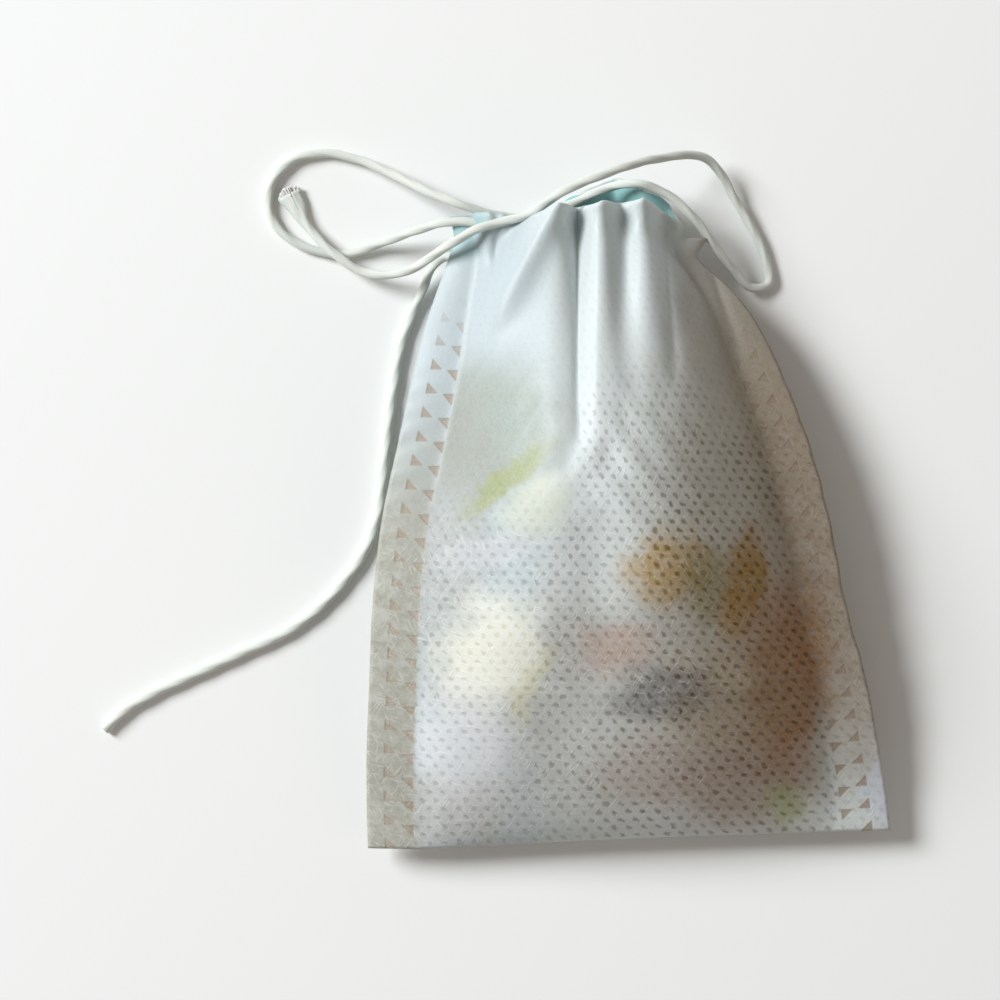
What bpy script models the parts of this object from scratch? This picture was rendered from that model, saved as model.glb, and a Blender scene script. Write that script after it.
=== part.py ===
"""Drawstring tea filter bag: filled, drawn shut by its string, and lying on its back.

Metres. +X runs across the bag, +Y from the bottom fold to the mouth, +Z up through the front panel.
The origin is under the middle of the bag, on the surface that it lies on.
"""

import math

import bmesh
import bpy
import numpy as np
from mathutils import Euler, Vector
from mathutils.bvhtree import BVHTree

MM = 0.001

# Bag
BAG_WIDTH = 69.4 * MM  # across the bottom fold, side seams included
BAG_LENGTH = 83.5 * MM  # from the bottom fold to the mouth, along the left seam
FRONT_RISE = 13.7 * MM  # top of the belly above the side seams
BACK_DROP = 9.3 * MM  # side seams above the surface that the bag lies on
FLAT_PRESS = 1.2 * MM  # how far the resting underside is pressed flat
SEAM_BAND = 6.6 * MM  # width of the sealed band at each side
SEAM_THICKNESS = 0.5 * MM
SEAM_DROOP = 1.2 * MM  # how far the band's outer edge hangs
WALL = 0.45 * MM
MOUTH_SLOT = 2.0 * MM  # what the drawn mouth leaves open
NOSE_START = 0.25  # share of the length in which the bottom fold swells to the belly

# A unit of the tables below in each direction: they were measured in mm on a bag of 69.4 x 83.5 x 23 mm
ACROSS = BAG_WIDTH / 69.4
ALONG = BAG_LENGTH / 83.5
UPWARD = (FRONT_RISE + BACK_DROP) / 23.0

LEFT_BOTTOM_Y = -43.8 * ALONG
LEFT_MOUTH_Y = 39.7 * ALONG
RIGHT_BOTTOM_Y = -41.4 * ALONG
RIGHT_MOUTH_Y = 36.8 * ALONG

# Seal points
SEAL_PITCH = 3.4 * MM
SEAL_WIDTH = 1.7 * MM
SEAL_DEPTH = 0.25 * MM
SEAL_ROWS = (0.15, 0.5)  # shares of the band, from its inner side
SEAL_LAST = 0.8  # share of the length where the gathers begin to fold the band

# Drawstring
CORD_DIAMETER = 1.25 * MM
CORD_CLEARANCE = 0.3 * MM
CORD_POINTS = 80

# Filling: each piece's size, and where it lies as shares of the bag's half width and of its length
SEAT_GAP = 0.3 * MM
RIND = 1.1 * MM
SLICE_SIDES = 22

PANEL_STEPS = 32
CAVITY_HALF = 0.96  # share of the panel's half width that is hollow

# Share of the length, from the bottom fold (0) to the mouth (1), and what each line does there
STATIONS = (0.0, 0.07, 0.15, 0.25, 0.38, 0.52, 0.65, 0.75, 0.82, 0.88, 0.93, 0.965, 1.0)
LEFT_EDGE = (0.994, 0.999, 1.0, 0.991, 0.977, 0.939, 0.87, 0.816, 0.775, 0.729, 0.686, 0.663, 0.68)
RIGHT_EDGE = (1.0, 0.98, 0.948, 0.905, 0.824, 0.761, 0.68, 0.594, 0.524, 0.444, 0.343, 0.256, 0.297)
BAND_SHARE = (1.0, 1.0, 1.0, 1.0, 1.0, 1.0, 1.0, 0.95, 0.85, 0.7, 0.55, 0.42, 0.4)
SEAM_HEIGHT = (0.42, 0.5, 0.65, 0.8, 0.95, 1.0, 0.99, 0.95, 0.88, 0.82, 0.76, 0.73, 0.71)
FRONT_SHARE = (0.8, 0.8, 0.8, 0.81, 0.93, 1.0, 0.94, 0.78, 0.64, 0.54, 0.45, 0.38, 0.36)
BACK_SHARE = (0.8, 0.8, 0.8, 0.8, 0.95, 1.0, 0.99, 0.95, 0.84, 0.72, 0.62, 0.56, 0.52)
RINGS = (
    0.0, 0.02, 0.05, 0.1, 0.15, 0.2, 0.26, 0.32, 0.38, 0.44, 0.5, 0.56, 0.62, 0.68, 0.75, 0.81, 0.86, 0.9,
    0.935, 0.965, 1.0,
)
CAVITY_START = 0.04
NECK_START = 0.72

# How far the mouth's edge stands above a straight line between its corners, across the bag
MOUTH_ACROSS = (-1.0, -0.5, -0.2, 0.1, 0.35, 0.7, 0.9, 1.0)
BACK_LIP = tuple(rise * ALONG for rise in (0.0, 0.5, 2.4, 5.2, 6.8, 5.0, 2.2, 0.0))
FRONT_LIP = tuple(rise * ALONG for rise in (0.0, 0.2, 1.8, 2.4, 3.2, 3.4, 1.6, 0.0))
LIP_START = 0.6

# Gathers: from the mouth (x, y) to where it fades (x, y), height at both, half width at both, in mm
FRONT_GATHERS = (
    (-6.8, 40.5, -6.5, 13.0, -3.4, -0.3, 1.3, 2.4),
    (-3.9, 41.5, -3.9, 14.0, 2.2, 0.4, 1.7, 2.8),
    (-9.6, 40.5, -19.9, 23.3, 2.2, 1.0, 1.8, 3.0),
    (-14.4, 39.5, -22.3, 28.0, -1.6, -0.4, 1.5, 2.2),
    (-19.0, 39.5, -23.6, 28.0, 1.2, 0.3, 1.5, 2.0),
    (1.6, 41.5, 2.4, 21.0, 2.0, 0.6, 1.6, 2.6),
    (-1.1, 41.5, -0.8, 20.0, -1.8, -0.3, 1.2, 2.0),
    (5.1, 40.5, 9.3, 24.0, -2.0, -0.4, 1.4, 2.2),
    (8.0, 38.5, 14.0, 25.0, 1.2, 0.4, 1.3, 2.0),
)
BACK_GATHERS = (
    (-18.5, 40.5, -21.0, 26.0, -1.2, -0.3, 1.5, 2.4),
    (-14.5, 40.5, -16.5, 22.0, 1.6, 0.3, 1.5, 2.6),
    (-10.5, 41.0, -11.5, 20.0, -1.4, -0.3, 1.5, 2.6),
    (-6.0, 42.0, -5.5, 17.0, 2.2, 0.3, 1.4, 2.6),
    (-1.8, 43.0, 0.0, 20.0, -1.4, -0.3, 1.5, 2.6),
    (2.4, 43.0, 5.0, 22.0, 1.8, 0.3, 1.4, 2.4),
    (6.0, 40.5, 10.0, 25.0, -1.0, -0.3, 1.3, 2.2),
)

# Where the filling lifts the front, and the hollows between: middle (x, y), height, half sizes, in mm
FRONT_LUMPS = (
    (-18.0, -17.5, 0.9, 7.5, 8.0),
    (-12.5, 2.0, 0.8, 7.5, 6.0),
    (6.0, -7.0, 0.9, 7.5, 6.5),
    (17.5, -19.0, 0.8, 4.5, 9.0),
    (6.0, -31.0, 0.6, 10.0, 5.0),
    (-4.5, -6.0, -0.9, 4.5, 8.0),
    (-8.5, -28.0, -0.7, 5.0, 6.0),
    (14.0, 6.0, -0.8, 6.0, 9.0),
)

# Route of the drawstring, in mm: short end, front hem, right loop, back hem, left loop, long tail
CORD_ROUTE = (
    (-45.1, 43.0, 0.7), (-42.8, 38.9, 0.9), (-40.3, 36.0, 1.7), (-38.2, 34.3, 2.1), (-35.5, 32.6, 2.2),
    (-31.9, 32.1, 3.4), (-28.2, 33.0, 5.4), (-25.6, 34.6, 7.4), (-23.0, 36.2, 8.7), (-19.6, 38.0, 9.2),
    (-16.2, 38.9, 9.4), (-13.1, 39.8, 10.2), (-11.0, 41.2, 11.0), (-8.2, 42.9, 11.4), (-3.9, 44.7, 11.2),
    (0.7, 46.4, 9.6), (5.3, 47.5, 6.6), (8.4, 47.9, 4.6), (10.8, 47.2, 3.1), (12.4, 45.4, 2.2),
    (14.3, 42.0, 1.4), (16.8, 37.8, 0.9), (18.5, 33.6, 0.7), (18.7, 31.0, 0.8), (16.6, 30.4, 1.5),
    (14.0, 32.8, 2.9), (11.6, 35.6, 4.6), (8.6, 39.4, 6.0), (4.9, 42.6, 6.6), (1.0, 44.0, 6.0),
    (-2.6, 43.6, 4.6), (-6.8, 41.8, 3.9), (-11.0, 40.2, 4.1), (-15.2, 39.6, 4.8), (-19.0, 40.2, 5.8),
    (-22.4, 41.3, 6.4), (-26.4, 42.9, 5.2), (-30.6, 45.1, 3.0), (-35.5, 47.4, 1.2), (-40.6, 48.4, 0.7),
    (-44.4, 47.6, 0.7), (-47.0, 45.2, 0.7), (-47.9, 42.0, 0.7), (-46.8, 38.7, 0.7), (-44.4, 36.6, 0.7),
    (-41.4, 35.4, 0.7), (-38.1, 34.9, 0.7), (-33.1, 36.3, 1.6), (-28.2, 37.9, 4.4), (-23.8, 38.9, 6.6),
    (-20.0, 38.6, 6.8), (-17.3, 36.8, 5.6), (-18.4, 34.6, 4.0), (-21.6, 34.2, 3.4), (-24.6, 34.4, 2.9),
    (-26.4, 32.6, 2.0), (-27.2, 30.4, 1.2), (-28.6, 27.2, 0.7), (-30.2, 22.6, 0.7), (-31.1, 17.4, 0.7),
    (-31.9, 11.4, 0.7), (-32.6, 5.0, 0.7), (-33.3, 0.0, 0.7), (-34.9, -4.4, 0.7), (-37.6, -8.4, 0.7),
    (-40.9, -12.0, 0.7), (-45.1, -15.2, 0.7), (-51.0, -18.0, 0.7), (-57.6, -21.0, 0.7),
    (-63.6, -23.8, 0.7), (-67.2, -26.0, 0.7), (-69.7, -28.4, 0.7),
)


def smooth_step(value, low, high):
    share = np.clip((value - low) / (high - low), 0.0, 1.0)
    return share * share * (3.0 - 2.0 * share)


def through(stations, values, at):
    """A smooth curve through the stations, level at none of them."""
    stations = np.asarray(stations, float)
    values = np.asarray(values, float)
    slopes = np.gradient(values, stations)
    at = np.clip(np.asarray(at, float), stations[0], stations[-1])
    cell = np.clip(np.searchsorted(stations, at, side="right") - 1, 0, len(stations) - 2)
    span = stations[cell + 1] - stations[cell]
    part = (at - stations[cell]) / span
    start, end = values[cell], values[cell + 1]
    start_slope, end_slope = slopes[cell] * span, slopes[cell + 1] * span
    square, cube = part**2, part**3
    return (
        (2 * cube - 3 * square + 1) * start
        + (cube - 2 * square + part) * start_slope
        + (3 * square - 2 * cube) * end
        + (cube - square) * end_slope
    )


def gathers_at(gathers, x, y):
    """Height that the gathers add at (x, y)."""
    total = np.zeros(np.broadcast(x, y).shape)
    for x0, y0, x1, y1, high0, high1, half0, half1 in gathers:
        along = (y0 * ALONG - y) / ((y0 - y1) * ALONG)
        part = np.clip(along, 0.0, 1.0)
        middle = (x0 + (x1 - x0) * part) * ACROSS
        half = (half0 + (half1 - half0) * part) * ACROSS
        height = (high0 + (high1 - high0) * part) * UPWARD
        fade = 1.0 - smooth_step(along, 0.8, 1.25)
        total = total + height * fade * np.exp(-(((x - middle) / half) ** 2))
    return total


def lumps_at(x, y):
    """Height that the filling's upper pieces add to the front at (x, y)."""
    total = np.zeros(np.broadcast(x, y).shape)
    for middle_x, middle_y, height, half_x, half_y in FRONT_LUMPS:
        away = ((x / ACROSS - middle_x) / half_x) ** 2 + ((y / ALONG - middle_y) / half_y) ** 2
        total = total + height * UPWARD * np.exp(-away)
    return total


def edge_points(v):
    """The outer edges of the left and the right seam band at v, with the band's width there."""
    half = BAG_WIDTH / 2
    left_x = -half * through(STATIONS, LEFT_EDGE, v)
    right_x = half * through(STATIONS, RIGHT_EDGE, v)
    left_y = LEFT_BOTTOM_Y + (LEFT_MOUTH_Y - LEFT_BOTTOM_Y) * v
    right_y = RIGHT_BOTTOM_Y + (RIGHT_MOUTH_Y - RIGHT_BOTTOM_Y) * v
    band = SEAM_BAND * through(STATIONS, BAND_SHARE, v)
    return left_x, left_y, right_x, right_y, band


def swelling(v):
    """How much of the belly's thickness the bag has at v: nothing at the bottom fold."""
    return np.clip(v / NOSE_START, 0.0, 1.0) ** 0.6


def panel_point(v, s, front):
    """A point of a panel's outside: s runs from -1 at the left seam to 1 at the right seam."""
    left_x, left_y, right_x, right_y, band = edge_points(v)
    across = (s + 1.0) / 2.0
    left_x, right_x = left_x + band, right_x - band
    x = left_x + (right_x - left_x) * across
    lip = FRONT_LIP if front else BACK_LIP
    y = left_y + (right_y - left_y) * across
    y = y + through(MOUTH_ACROSS, lip, s) * smooth_step(v, LIP_START, 1.0)
    seam = BACK_DROP * through(STATIONS, SEAM_HEIGHT, v)
    span = np.abs(s)
    if front:
        crown = (1.0 - span**2.2) ** 0.9
        rise = FRONT_RISE * through(STATIONS, FRONT_SHARE, v) * swelling(v) * crown
        rise = rise + gathers_at(FRONT_GATHERS, x, y) * smooth_step(1.0 - span, 0.0, 0.25)
        rise = rise + lumps_at(x, y) * swelling(v) * crown
        z = seam + np.maximum(rise, 0.0) + SEAM_THICKNESS / 2
    else:
        crown = (1.0 - span**2.6) ** 0.8
        drop = (BACK_DROP + FLAT_PRESS) * through(STATIONS, BACK_SHARE, v) * swelling(v) * crown
        drop = drop - gathers_at(BACK_GATHERS, x, y) * smooth_step(1.0 - span, 0.0, 0.25)
        z = np.maximum(seam - np.maximum(drop, 0.0) - SEAM_THICKNESS / 2, 0.0)
    return x, y, z


def band_point(v, side, inward, front):
    """A point of a seam band's face, from 0 at its outer edge to 1 at the panel."""
    left_x, left_y, right_x, right_y, band = edge_points(v)
    seam = BACK_DROP * through(STATIONS, SEAM_HEIGHT, v)
    x = left_x + band * inward if side < 0 else right_x - band * inward
    y = left_y if side < 0 else right_y
    droop = SEAM_DROOP * np.minimum(1.0, seam / BACK_DROP) * (1.0 - inward) ** 2
    return x, y, seam - droop + (SEAM_THICKNESS / 2 if front else -SEAM_THICKNESS / 2)


def face_row(v, front):
    """One ring's points on the front or the back, from the left outer edge to the right one."""
    row = [band_point(v, -1, inward, front) for inward in (0.0, 0.5)]
    row += [panel_point(v, s, front) for s in np.linspace(-1.0, 1.0, PANEL_STEPS + 1)]
    row += [band_point(v, 1, inward, front) for inward in (0.5, 0.0)]
    return [Vector([float(value) for value in point]) for point in row]


def cavity_row(v, front):
    """One ring's points inside the wall. In the neck the gathered cloth leaves only a slot."""
    row = []
    neck = smooth_step(v, NECK_START, 1.0)
    seam = BACK_DROP * float(through(STATIONS, SEAM_HEIGHT, v))
    room = (1.0 - neck) * (FRONT_RISE + BACK_DROP) + neck * MOUTH_SLOT / 2
    least = MOUTH_SLOT / 10
    for s in np.linspace(-CAVITY_HALF, CAVITY_HALF, PANEL_STEPS + 1):
        x, y, z = (float(value) for value in panel_point(v, s, front))
        near_x, _, near_z = (float(value) for value in panel_point(v, s * 0.98 + 0.001, front))
        slope = (near_z - z) / (near_x - x)
        depth = WALL * math.sqrt(1.0 + slope * slope)
        if front:
            z = seam + min(max(z - depth - seam, least), room)
        else:
            z = seam - min(max(seam - z - depth, least), room)
        row.append(Vector((x, y, z)))
    return row


def lofted(name, front_rows, back_rows):
    """A closed mesh between matching front and back rows."""
    mesh = bmesh.new()
    fronts = [[mesh.verts.new(point) for point in row] for row in front_rows]
    backs = [[mesh.verts.new(point) for point in row] for row in back_rows]
    last = len(front_rows[0]) - 1
    for low, high in zip(range(len(fronts) - 1), range(1, len(fronts))):
        for i in range(last):
            mesh.faces.new((fronts[low][i], fronts[low][i + 1], fronts[high][i + 1], fronts[high][i]))
            mesh.faces.new((backs[high][i], backs[high][i + 1], backs[low][i + 1], backs[low][i]))
        mesh.faces.new((backs[low][0], fronts[low][0], fronts[high][0], backs[high][0]))
        mesh.faces.new((fronts[low][last], backs[low][last], backs[high][last], fronts[high][last]))
    for i in range(last):
        mesh.faces.new((backs[0][i], backs[0][i + 1], fronts[0][i + 1], fronts[0][i]))
        mesh.faces.new((fronts[-1][i], fronts[-1][i + 1], backs[-1][i + 1], backs[-1][i]))
    bmesh.ops.recalc_face_normals(mesh, faces=mesh.faces)
    data = bpy.data.meshes.new(name)
    mesh.to_mesh(data)
    mesh.free()
    return bpy.data.objects.new(name, data)


def material(name, colour, roughness):
    made = bpy.data.materials.new(name)
    made.use_nodes = True
    shader = made.node_tree.nodes["Principled BSDF"]
    shader.inputs["Base Color"].default_value = (*colour, 1.0)
    shader.inputs["Roughness"].default_value = roughness
    shader.inputs["Metallic"].default_value = 0.0
    return made


def new_collection(name):
    made = bpy.data.collections.new(name)
    bpy.context.scene.collection.children.link(made)
    return made


def as_cutter(piece, cutters):
    piece.hide_render = True
    piece.display_type = "WIRE"
    cutters.objects.link(piece)


def cut(target, cutter):
    modifier = target.modifiers.new(cutter.name, "BOOLEAN")
    modifier.operation = "DIFFERENCE"
    modifier.solver = "EXACT"
    modifier.object = cutter


def cavity():
    """The hollow of the bag, which comes out through the mouth."""
    rings = [v for v in RINGS if v > CAVITY_START]
    rings.insert(0, CAVITY_START)
    fronts = [cavity_row(v, True) for v in rings]
    backs = [cavity_row(v, False) for v in rings]
    beyond = Vector((0.0, 4.0 * MM, 0.0))
    fronts.append([point + beyond for point in fronts[-1]])
    backs.append([point + beyond for point in backs[-1]])
    return lofted("cavity", fronts, backs)


def seal_points():
    """Small triangular pits in two staggered rows along the front of each seam band."""
    mesh = bmesh.new()
    length = LEFT_MOUTH_Y - LEFT_BOTTOM_Y
    count = int(SEAL_LAST * length / SEAL_PITCH)
    for side in (-1, 1):
        for row, from_panel in enumerate(SEAL_ROWS):
            for i in range(count):
                v = (i + 0.7 + row / 2) * SEAL_PITCH / length
                inward = 1.0 - from_panel
                here = Vector([float(value) for value in band_point(v, side, inward, True)])
                up = Vector([float(value) for value in band_point(v + 0.01, side, inward, True)]) - here
                over = Vector([float(value) for value in band_point(v, side, inward + 0.1, True)]) - here
                over = over * -side
                out = over.cross(up).normalized()
                up.normalize()
                point = up if row else -up
                width = up.cross(out).normalized() * SEAL_WIDTH / 2
                tall = point * SEAL_WIDTH / 3
                straight = width * (side if row else -side)
                corners = (here - tall - width, here - tall + width, here + tall + straight)
                low = [mesh.verts.new(corner - out * SEAL_DEPTH) for corner in corners]
                high = [mesh.verts.new(corner + out * SEAL_DEPTH * 2) for corner in corners]
                mesh.faces.new(low)
                mesh.faces.new(high[::-1])
                for a, b in ((0, 1), (1, 2), (2, 0)):
                    mesh.faces.new((low[b], low[a], high[a], high[b]))
    bmesh.ops.recalc_face_normals(mesh, faces=mesh.faces)
    data = bpy.data.meshes.new("seal_points")
    mesh.to_mesh(data)
    mesh.free()
    return bpy.data.objects.new("seal_points", data)


def cord_points():
    """Points at even distances along a smooth curve through the route."""
    route = np.array(CORD_ROUTE) * (ACROSS, ALONG, UPWARD)
    steps = np.linalg.norm(np.diff(route, axis=0), axis=1)
    at = np.concatenate(([0.0], np.cumsum(steps)))
    dense = np.linspace(0.0, at[-1], 4000)
    curve = np.stack([through(at, route[:, axis], dense) for axis in range(3)], axis=1)
    curve[:, 2] = np.maximum(curve[:, 2], CORD_DIAMETER / 2)
    lengths = np.linalg.norm(np.diff(curve, axis=0), axis=1)
    run = np.concatenate(([0.0], np.cumsum(lengths)))
    even = np.linspace(0.0, run[-1], CORD_POINTS)
    return np.stack([np.interp(even, run, curve[:, axis]) for axis in range(3)], axis=1)


def tube(name, points, diameter):
    curve = bpy.data.curves.new(name, "CURVE")
    curve.dimensions = "3D"
    curve.bevel_depth = diameter / 2
    curve.bevel_resolution = 2
    curve.use_fill_caps = True
    spline = curve.splines.new("POLY")
    spline.points.add(len(points) - 1)
    for spot, point in zip(spline.points, points):
        spot.co = (*[float(value) for value in point], 1.0)
    return bpy.data.objects.new(name, curve)


def as_mesh(piece, collection):
    """The curve object as a closed mesh object."""
    collection.objects.link(piece)
    evaluated = piece.evaluated_get(bpy.context.evaluated_depsgraph_get())
    data = bpy.data.meshes.new_from_object(evaluated)
    mesh = bmesh.new()
    mesh.from_mesh(data)
    bmesh.ops.remove_doubles(mesh, verts=mesh.verts, dist=0.00001)
    bmesh.ops.recalc_face_normals(mesh, faces=mesh.faces)
    mesh.to_mesh(data)
    mesh.free()
    made = bpy.data.objects.new(piece.name + "_mesh", data)
    made.matrix_world = piece.matrix_world
    bpy.data.objects.remove(piece)
    return made


def filter_bag(parts, cutters):
    """The folded and sealed sheet, with its hollow, its string's way through the hem and its seals."""
    bag = lofted("filter_bag", [face_row(v, True) for v in RINGS], [face_row(v, False) for v in RINGS])
    bag.data.materials.append(material("filter_cloth", (0.72, 0.75, 0.70), 0.85))
    parts.objects.link(bag)
    hollow = cavity()
    as_cutter(hollow, cutters)
    cut(bag, hollow)
    points = cord_points()
    for name, part in (("front_hem_way", points[:22]), ("back_hem_way", points[26:46]), ("corner_way", points[46:70])):
        way = as_mesh(tube(name, part, CORD_DIAMETER + 2 * CORD_CLEARANCE), cutters)
        as_cutter(way, cutters)
        cut(bag, way)
    seals = seal_points()
    as_cutter(seals, cutters)
    cut(bag, seals)
    return bag


def lumped(piece, lumps, depth):
    """Shrivels a piece: its points move in and out along waves around it."""
    for vertex in piece.data.vertices:
        x, y, z = vertex.co
        turn = math.atan2(y, x)
        wave = math.sin(lumps * turn + 900.0 * z) + 0.6 * math.sin((lumps + 2) * turn - 700.0 * z)
        vertex.co *= 1.0 + depth * wave


def chunk(name, size, skew, colour, roughness=0.8):
    """A cut and dried cube of fruit: a skewed cage, rounded by subdivision."""
    mesh = bmesh.new()
    bmesh.ops.create_cube(mesh, size=1.0)
    bmesh.ops.subdivide_edges(mesh, edges=mesh.edges, cuts=1, use_grid_fill=True)
    for vertex in mesh.verts:
        x, y, z = vertex.co
        vertex.co.x = x * size[0] * (1.0 + skew * z + 0.5 * skew * y)
        vertex.co.y = y * size[1] * (1.0 - skew * x + 0.5 * skew * z)
        vertex.co.z = z * size[2] * (1.0 + 0.5 * skew * y)
    return finished(name, mesh, colour, roughness, 1)


def turned(name, profile, colour, roughness=0.75):
    """A slice of fruit: half its section, from the middle of the top to the middle of the bottom."""
    data = bpy.data.meshes.new(name)
    data.from_pydata([(x, 0.0, z) for x, z in profile], [(i, i + 1) for i in range(len(profile) - 1)], [])
    piece = bpy.data.objects.new(name, data)
    screw = piece.modifiers.new("turn", "SCREW")
    screw.steps = SLICE_SIDES
    screw.render_steps = SLICE_SIDES
    screw.use_merge_vertices = True
    screw.merge_threshold = 0.00001
    piece.data.materials.append(material(name, colour, roughness))
    return piece


def citrus_slice(name, radius, thickness, colour):
    """A dried slice: the flesh has shrunk below the rind."""
    half = thickness / 2
    flesh = half * 0.55
    inner = radius - RIND
    profile = (
        (0.0, flesh), (inner * 0.9, flesh), (inner, half), (radius - RIND / 3, half), (radius, half / 2),
        (radius, -half / 2), (radius - RIND / 3, -half), (inner, -half), (inner * 0.9, -flesh), (0.0, -flesh),
    )
    return turned(name, profile, colour)


def bud(name, radius, height, colour):
    """A rosebud: closed petals wind round it."""
    mesh = bmesh.new()
    bmesh.ops.create_uvsphere(mesh, u_segments=15, v_segments=8, radius=1.0)
    for vertex in mesh.verts:
        x, y, z = vertex.co
        petal = 1.0 + 0.12 * math.cos(5.0 * math.atan2(y, x) + 3.0 * z)
        taper = 1.0 - 0.25 * z
        vertex.co = Vector((x * radius * petal * taper, y * radius * petal * taper, z * height / 2))
    return finished(name, mesh, colour, 0.9, 0)


def berry(name, size, colour, lumps=4):
    """A shrivelled fruit."""
    mesh = bmesh.new()
    bmesh.ops.create_uvsphere(mesh, u_segments=14, v_segments=8, radius=0.5)
    for vertex in mesh.verts:
        x, y, z = vertex.co
        vertex.co = Vector((x * size[0], y * size[1], z * size[2]))
    piece = finished(name, mesh, colour, 0.6, 0)
    lumped(piece, lumps, 0.05)
    return piece


def strip(name, length, width, thickness, bend, point, colour):
    """A strip of peel or a leaf: a curled sheet, narrowed to its ends by point, with a thickness."""
    mesh = bmesh.new()
    bmesh.ops.create_grid(mesh, x_segments=8, y_segments=4, size=0.5)
    for vertex in mesh.verts:
        x, y, _ = vertex.co
        narrow = 1.0 - point * (2.0 * x) ** 2
        vertex.co = Vector((x * length, y * width * narrow, bend * (1.0 - 4.0 * x * x) - bend * y * y))
    piece = finished(name, mesh, colour, 0.8, 0)
    shell = piece.modifiers.new("thickness", "SOLIDIFY")
    shell.thickness = thickness
    shell.offset = 0.0
    return piece


def finished(name, mesh, colour, roughness, levels):
    data = bpy.data.meshes.new(name)
    mesh.to_mesh(data)
    mesh.free()
    data.shade_smooth()
    piece = bpy.data.objects.new(name, data)
    piece.data.materials.append(material(name, colour, roughness))
    if levels:
        soft = piece.modifiers.new("soft", "SUBSURF")
        soft.levels = levels
        soft.render_levels = levels
    return piece


def world_shape(piece):
    """A piece as it stands: its points with the middles of its edges, and its faces, in the world."""
    bpy.context.view_layer.update()
    evaluated = piece.evaluated_get(bpy.context.evaluated_depsgraph_get())
    data = evaluated.to_mesh()
    points = [piece.matrix_world @ vertex.co for vertex in data.vertices]
    faces = [tuple(face.vertices) for face in data.polygons]
    middles = [(points[edge.vertices[0]] + points[edge.vertices[1]]) / 2 for edge in data.edges]
    evaluated.to_mesh_clear()
    return points + middles, BVHTree.FromPolygons(points, faces)


def room_towards(piece, others, direction):
    """How far a piece can go straight up or down before it meets one of the others."""
    points, tree = world_shape(piece)
    room = []
    for other_points, other_tree in others:
        room += [other_tree.ray_cast(point, direction)[3] for point in points]
        room += [tree.ray_cast(point, -direction)[3] for point in other_points]
    return min(distance for distance in room if distance is not None)


def lay(piece, parts, carriers, across, along, turn, tilt):
    """Puts a piece into the bag at the height of the seams, lifts it to the front and lets it down."""
    up = Vector((0.0, 0.0, 1.0))
    length = LEFT_MOUTH_Y - LEFT_BOTTOM_Y
    height = BACK_DROP * float(through(STATIONS, SEAM_HEIGHT, along))
    piece.location = (across * BAG_WIDTH / 2, LEFT_BOTTOM_Y + along * length, height)
    piece.rotation_euler = Euler((math.radians(tilt[0]), math.radians(tilt[1]), math.radians(turn)))
    parts.objects.link(piece)
    piece.location.z += room_towards(piece, carriers[:1], up) - SEAT_GAP
    piece.location.z -= room_towards(piece, carriers, -up) - SEAT_GAP
    carriers.append(world_shape(piece))


def sides(*lengths):
    return tuple(length * ACROSS for length in lengths)


def filling(parts, bag):
    """Dried fruit, peel, petals and leaf: a lower layer on the cloth and an upper one on that."""
    carriers = [world_shape(bag)]
    pieces = (
        (chunk("apple_cube_left", sides(13, 12, 7), 0.10, (0.55, 0.42, 0.27)), -0.33, 0.27, 12, (0, 0)),
        (chunk("apple_cube_right", sides(14, 10, 6.5), -0.12, (0.50, 0.36, 0.22)), 0.13, 0.265, -8, (0, 0)),
        (citrus_slice("orange_slice", 8.2 * ACROSS, 4.6 * ACROSS, (0.70, 0.42, 0.14)), -0.36, 0.47, 20, (0, 0)),
        (chunk("ginger_piece", sides(14, 12, 8), 0.14, (0.55, 0.45, 0.28)), 0.14, 0.43, 30, (0, 0)),
        (berry("plum_half", sides(17, 13, 9), (0.24, 0.12, 0.12)), -0.12, 0.66, 10, (0, 0)),
        (chunk("apple_slice", sides(6.5, 16, 4), 0.08, (0.36, 0.20, 0.10)), 0.47, 0.29, -4, (0, 0)),
        (strip("mint_leaf", 7.0 * ACROSS, 4.6 * ACROSS, 0.8 * ACROSS, 0.6 * ACROSS, 0.8, (0.28, 0.42, 0.12)),
         0.54, 0.12, 60, (0, 0)),
        (citrus_slice("lemon_slice_upper", 7.4 * ACROSS, 2.8 * ACROSS, (0.72, 0.68, 0.34)), -0.34, 0.545, 35, (5, -4)),
        (citrus_slice("lemon_slice_lower", 7.2 * ACROSS, 2.8 * ACROSS, (0.80, 0.76, 0.44)), -0.44, 0.31, 0, (-3, -5)),
        (bud("rosebud", 3.6 * ACROSS, 5.2 * ACROSS, (0.66, 0.30, 0.30)), -0.03, 0.335, 0, (0, 0)),
        (berry("blueberry", sides(9, 6.5, 5), (0.10, 0.10, 0.17), 5), 0.17, 0.25, 15, (0, 0)),
        (chunk("peach_cube", sides(8.5, 7.5, 5.5), 0.10, (0.80, 0.42, 0.12)), 0.15, 0.44, 8, (0, 0)),
        (strip("orange_peel", 12.0 * ACROSS, 4.2 * ACROSS, 1.6 * ACROSS, 1.2 * ACROSS, 0.3, (0.72, 0.52, 0.10)),
         0.42, 0.41, 72, (0, 0)),
        (citrus_slice("hawthorn_slice", 4.8 * ACROSS, 3.0 * ACROSS, (0.52, 0.26, 0.20)), 0.18, 0.128, 0, (3, 0)),
        (berry("lavender_head", sides(8, 8, 3.4), (0.40, 0.36, 0.48), 6), -0.54, 0.12, 20, (0, 0)),
    )
    for piece, across, along, turn, tilt in pieces:
        lay(piece, parts, carriers, across, along, turn, tilt)


def drawstring(parts):
    cord = tube("drawstring", cord_points(), CORD_DIAMETER)
    cord.data.materials.append(material("cotton_cord", (0.78, 0.79, 0.73), 0.9))
    parts.objects.link(cord)
    return cord


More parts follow.
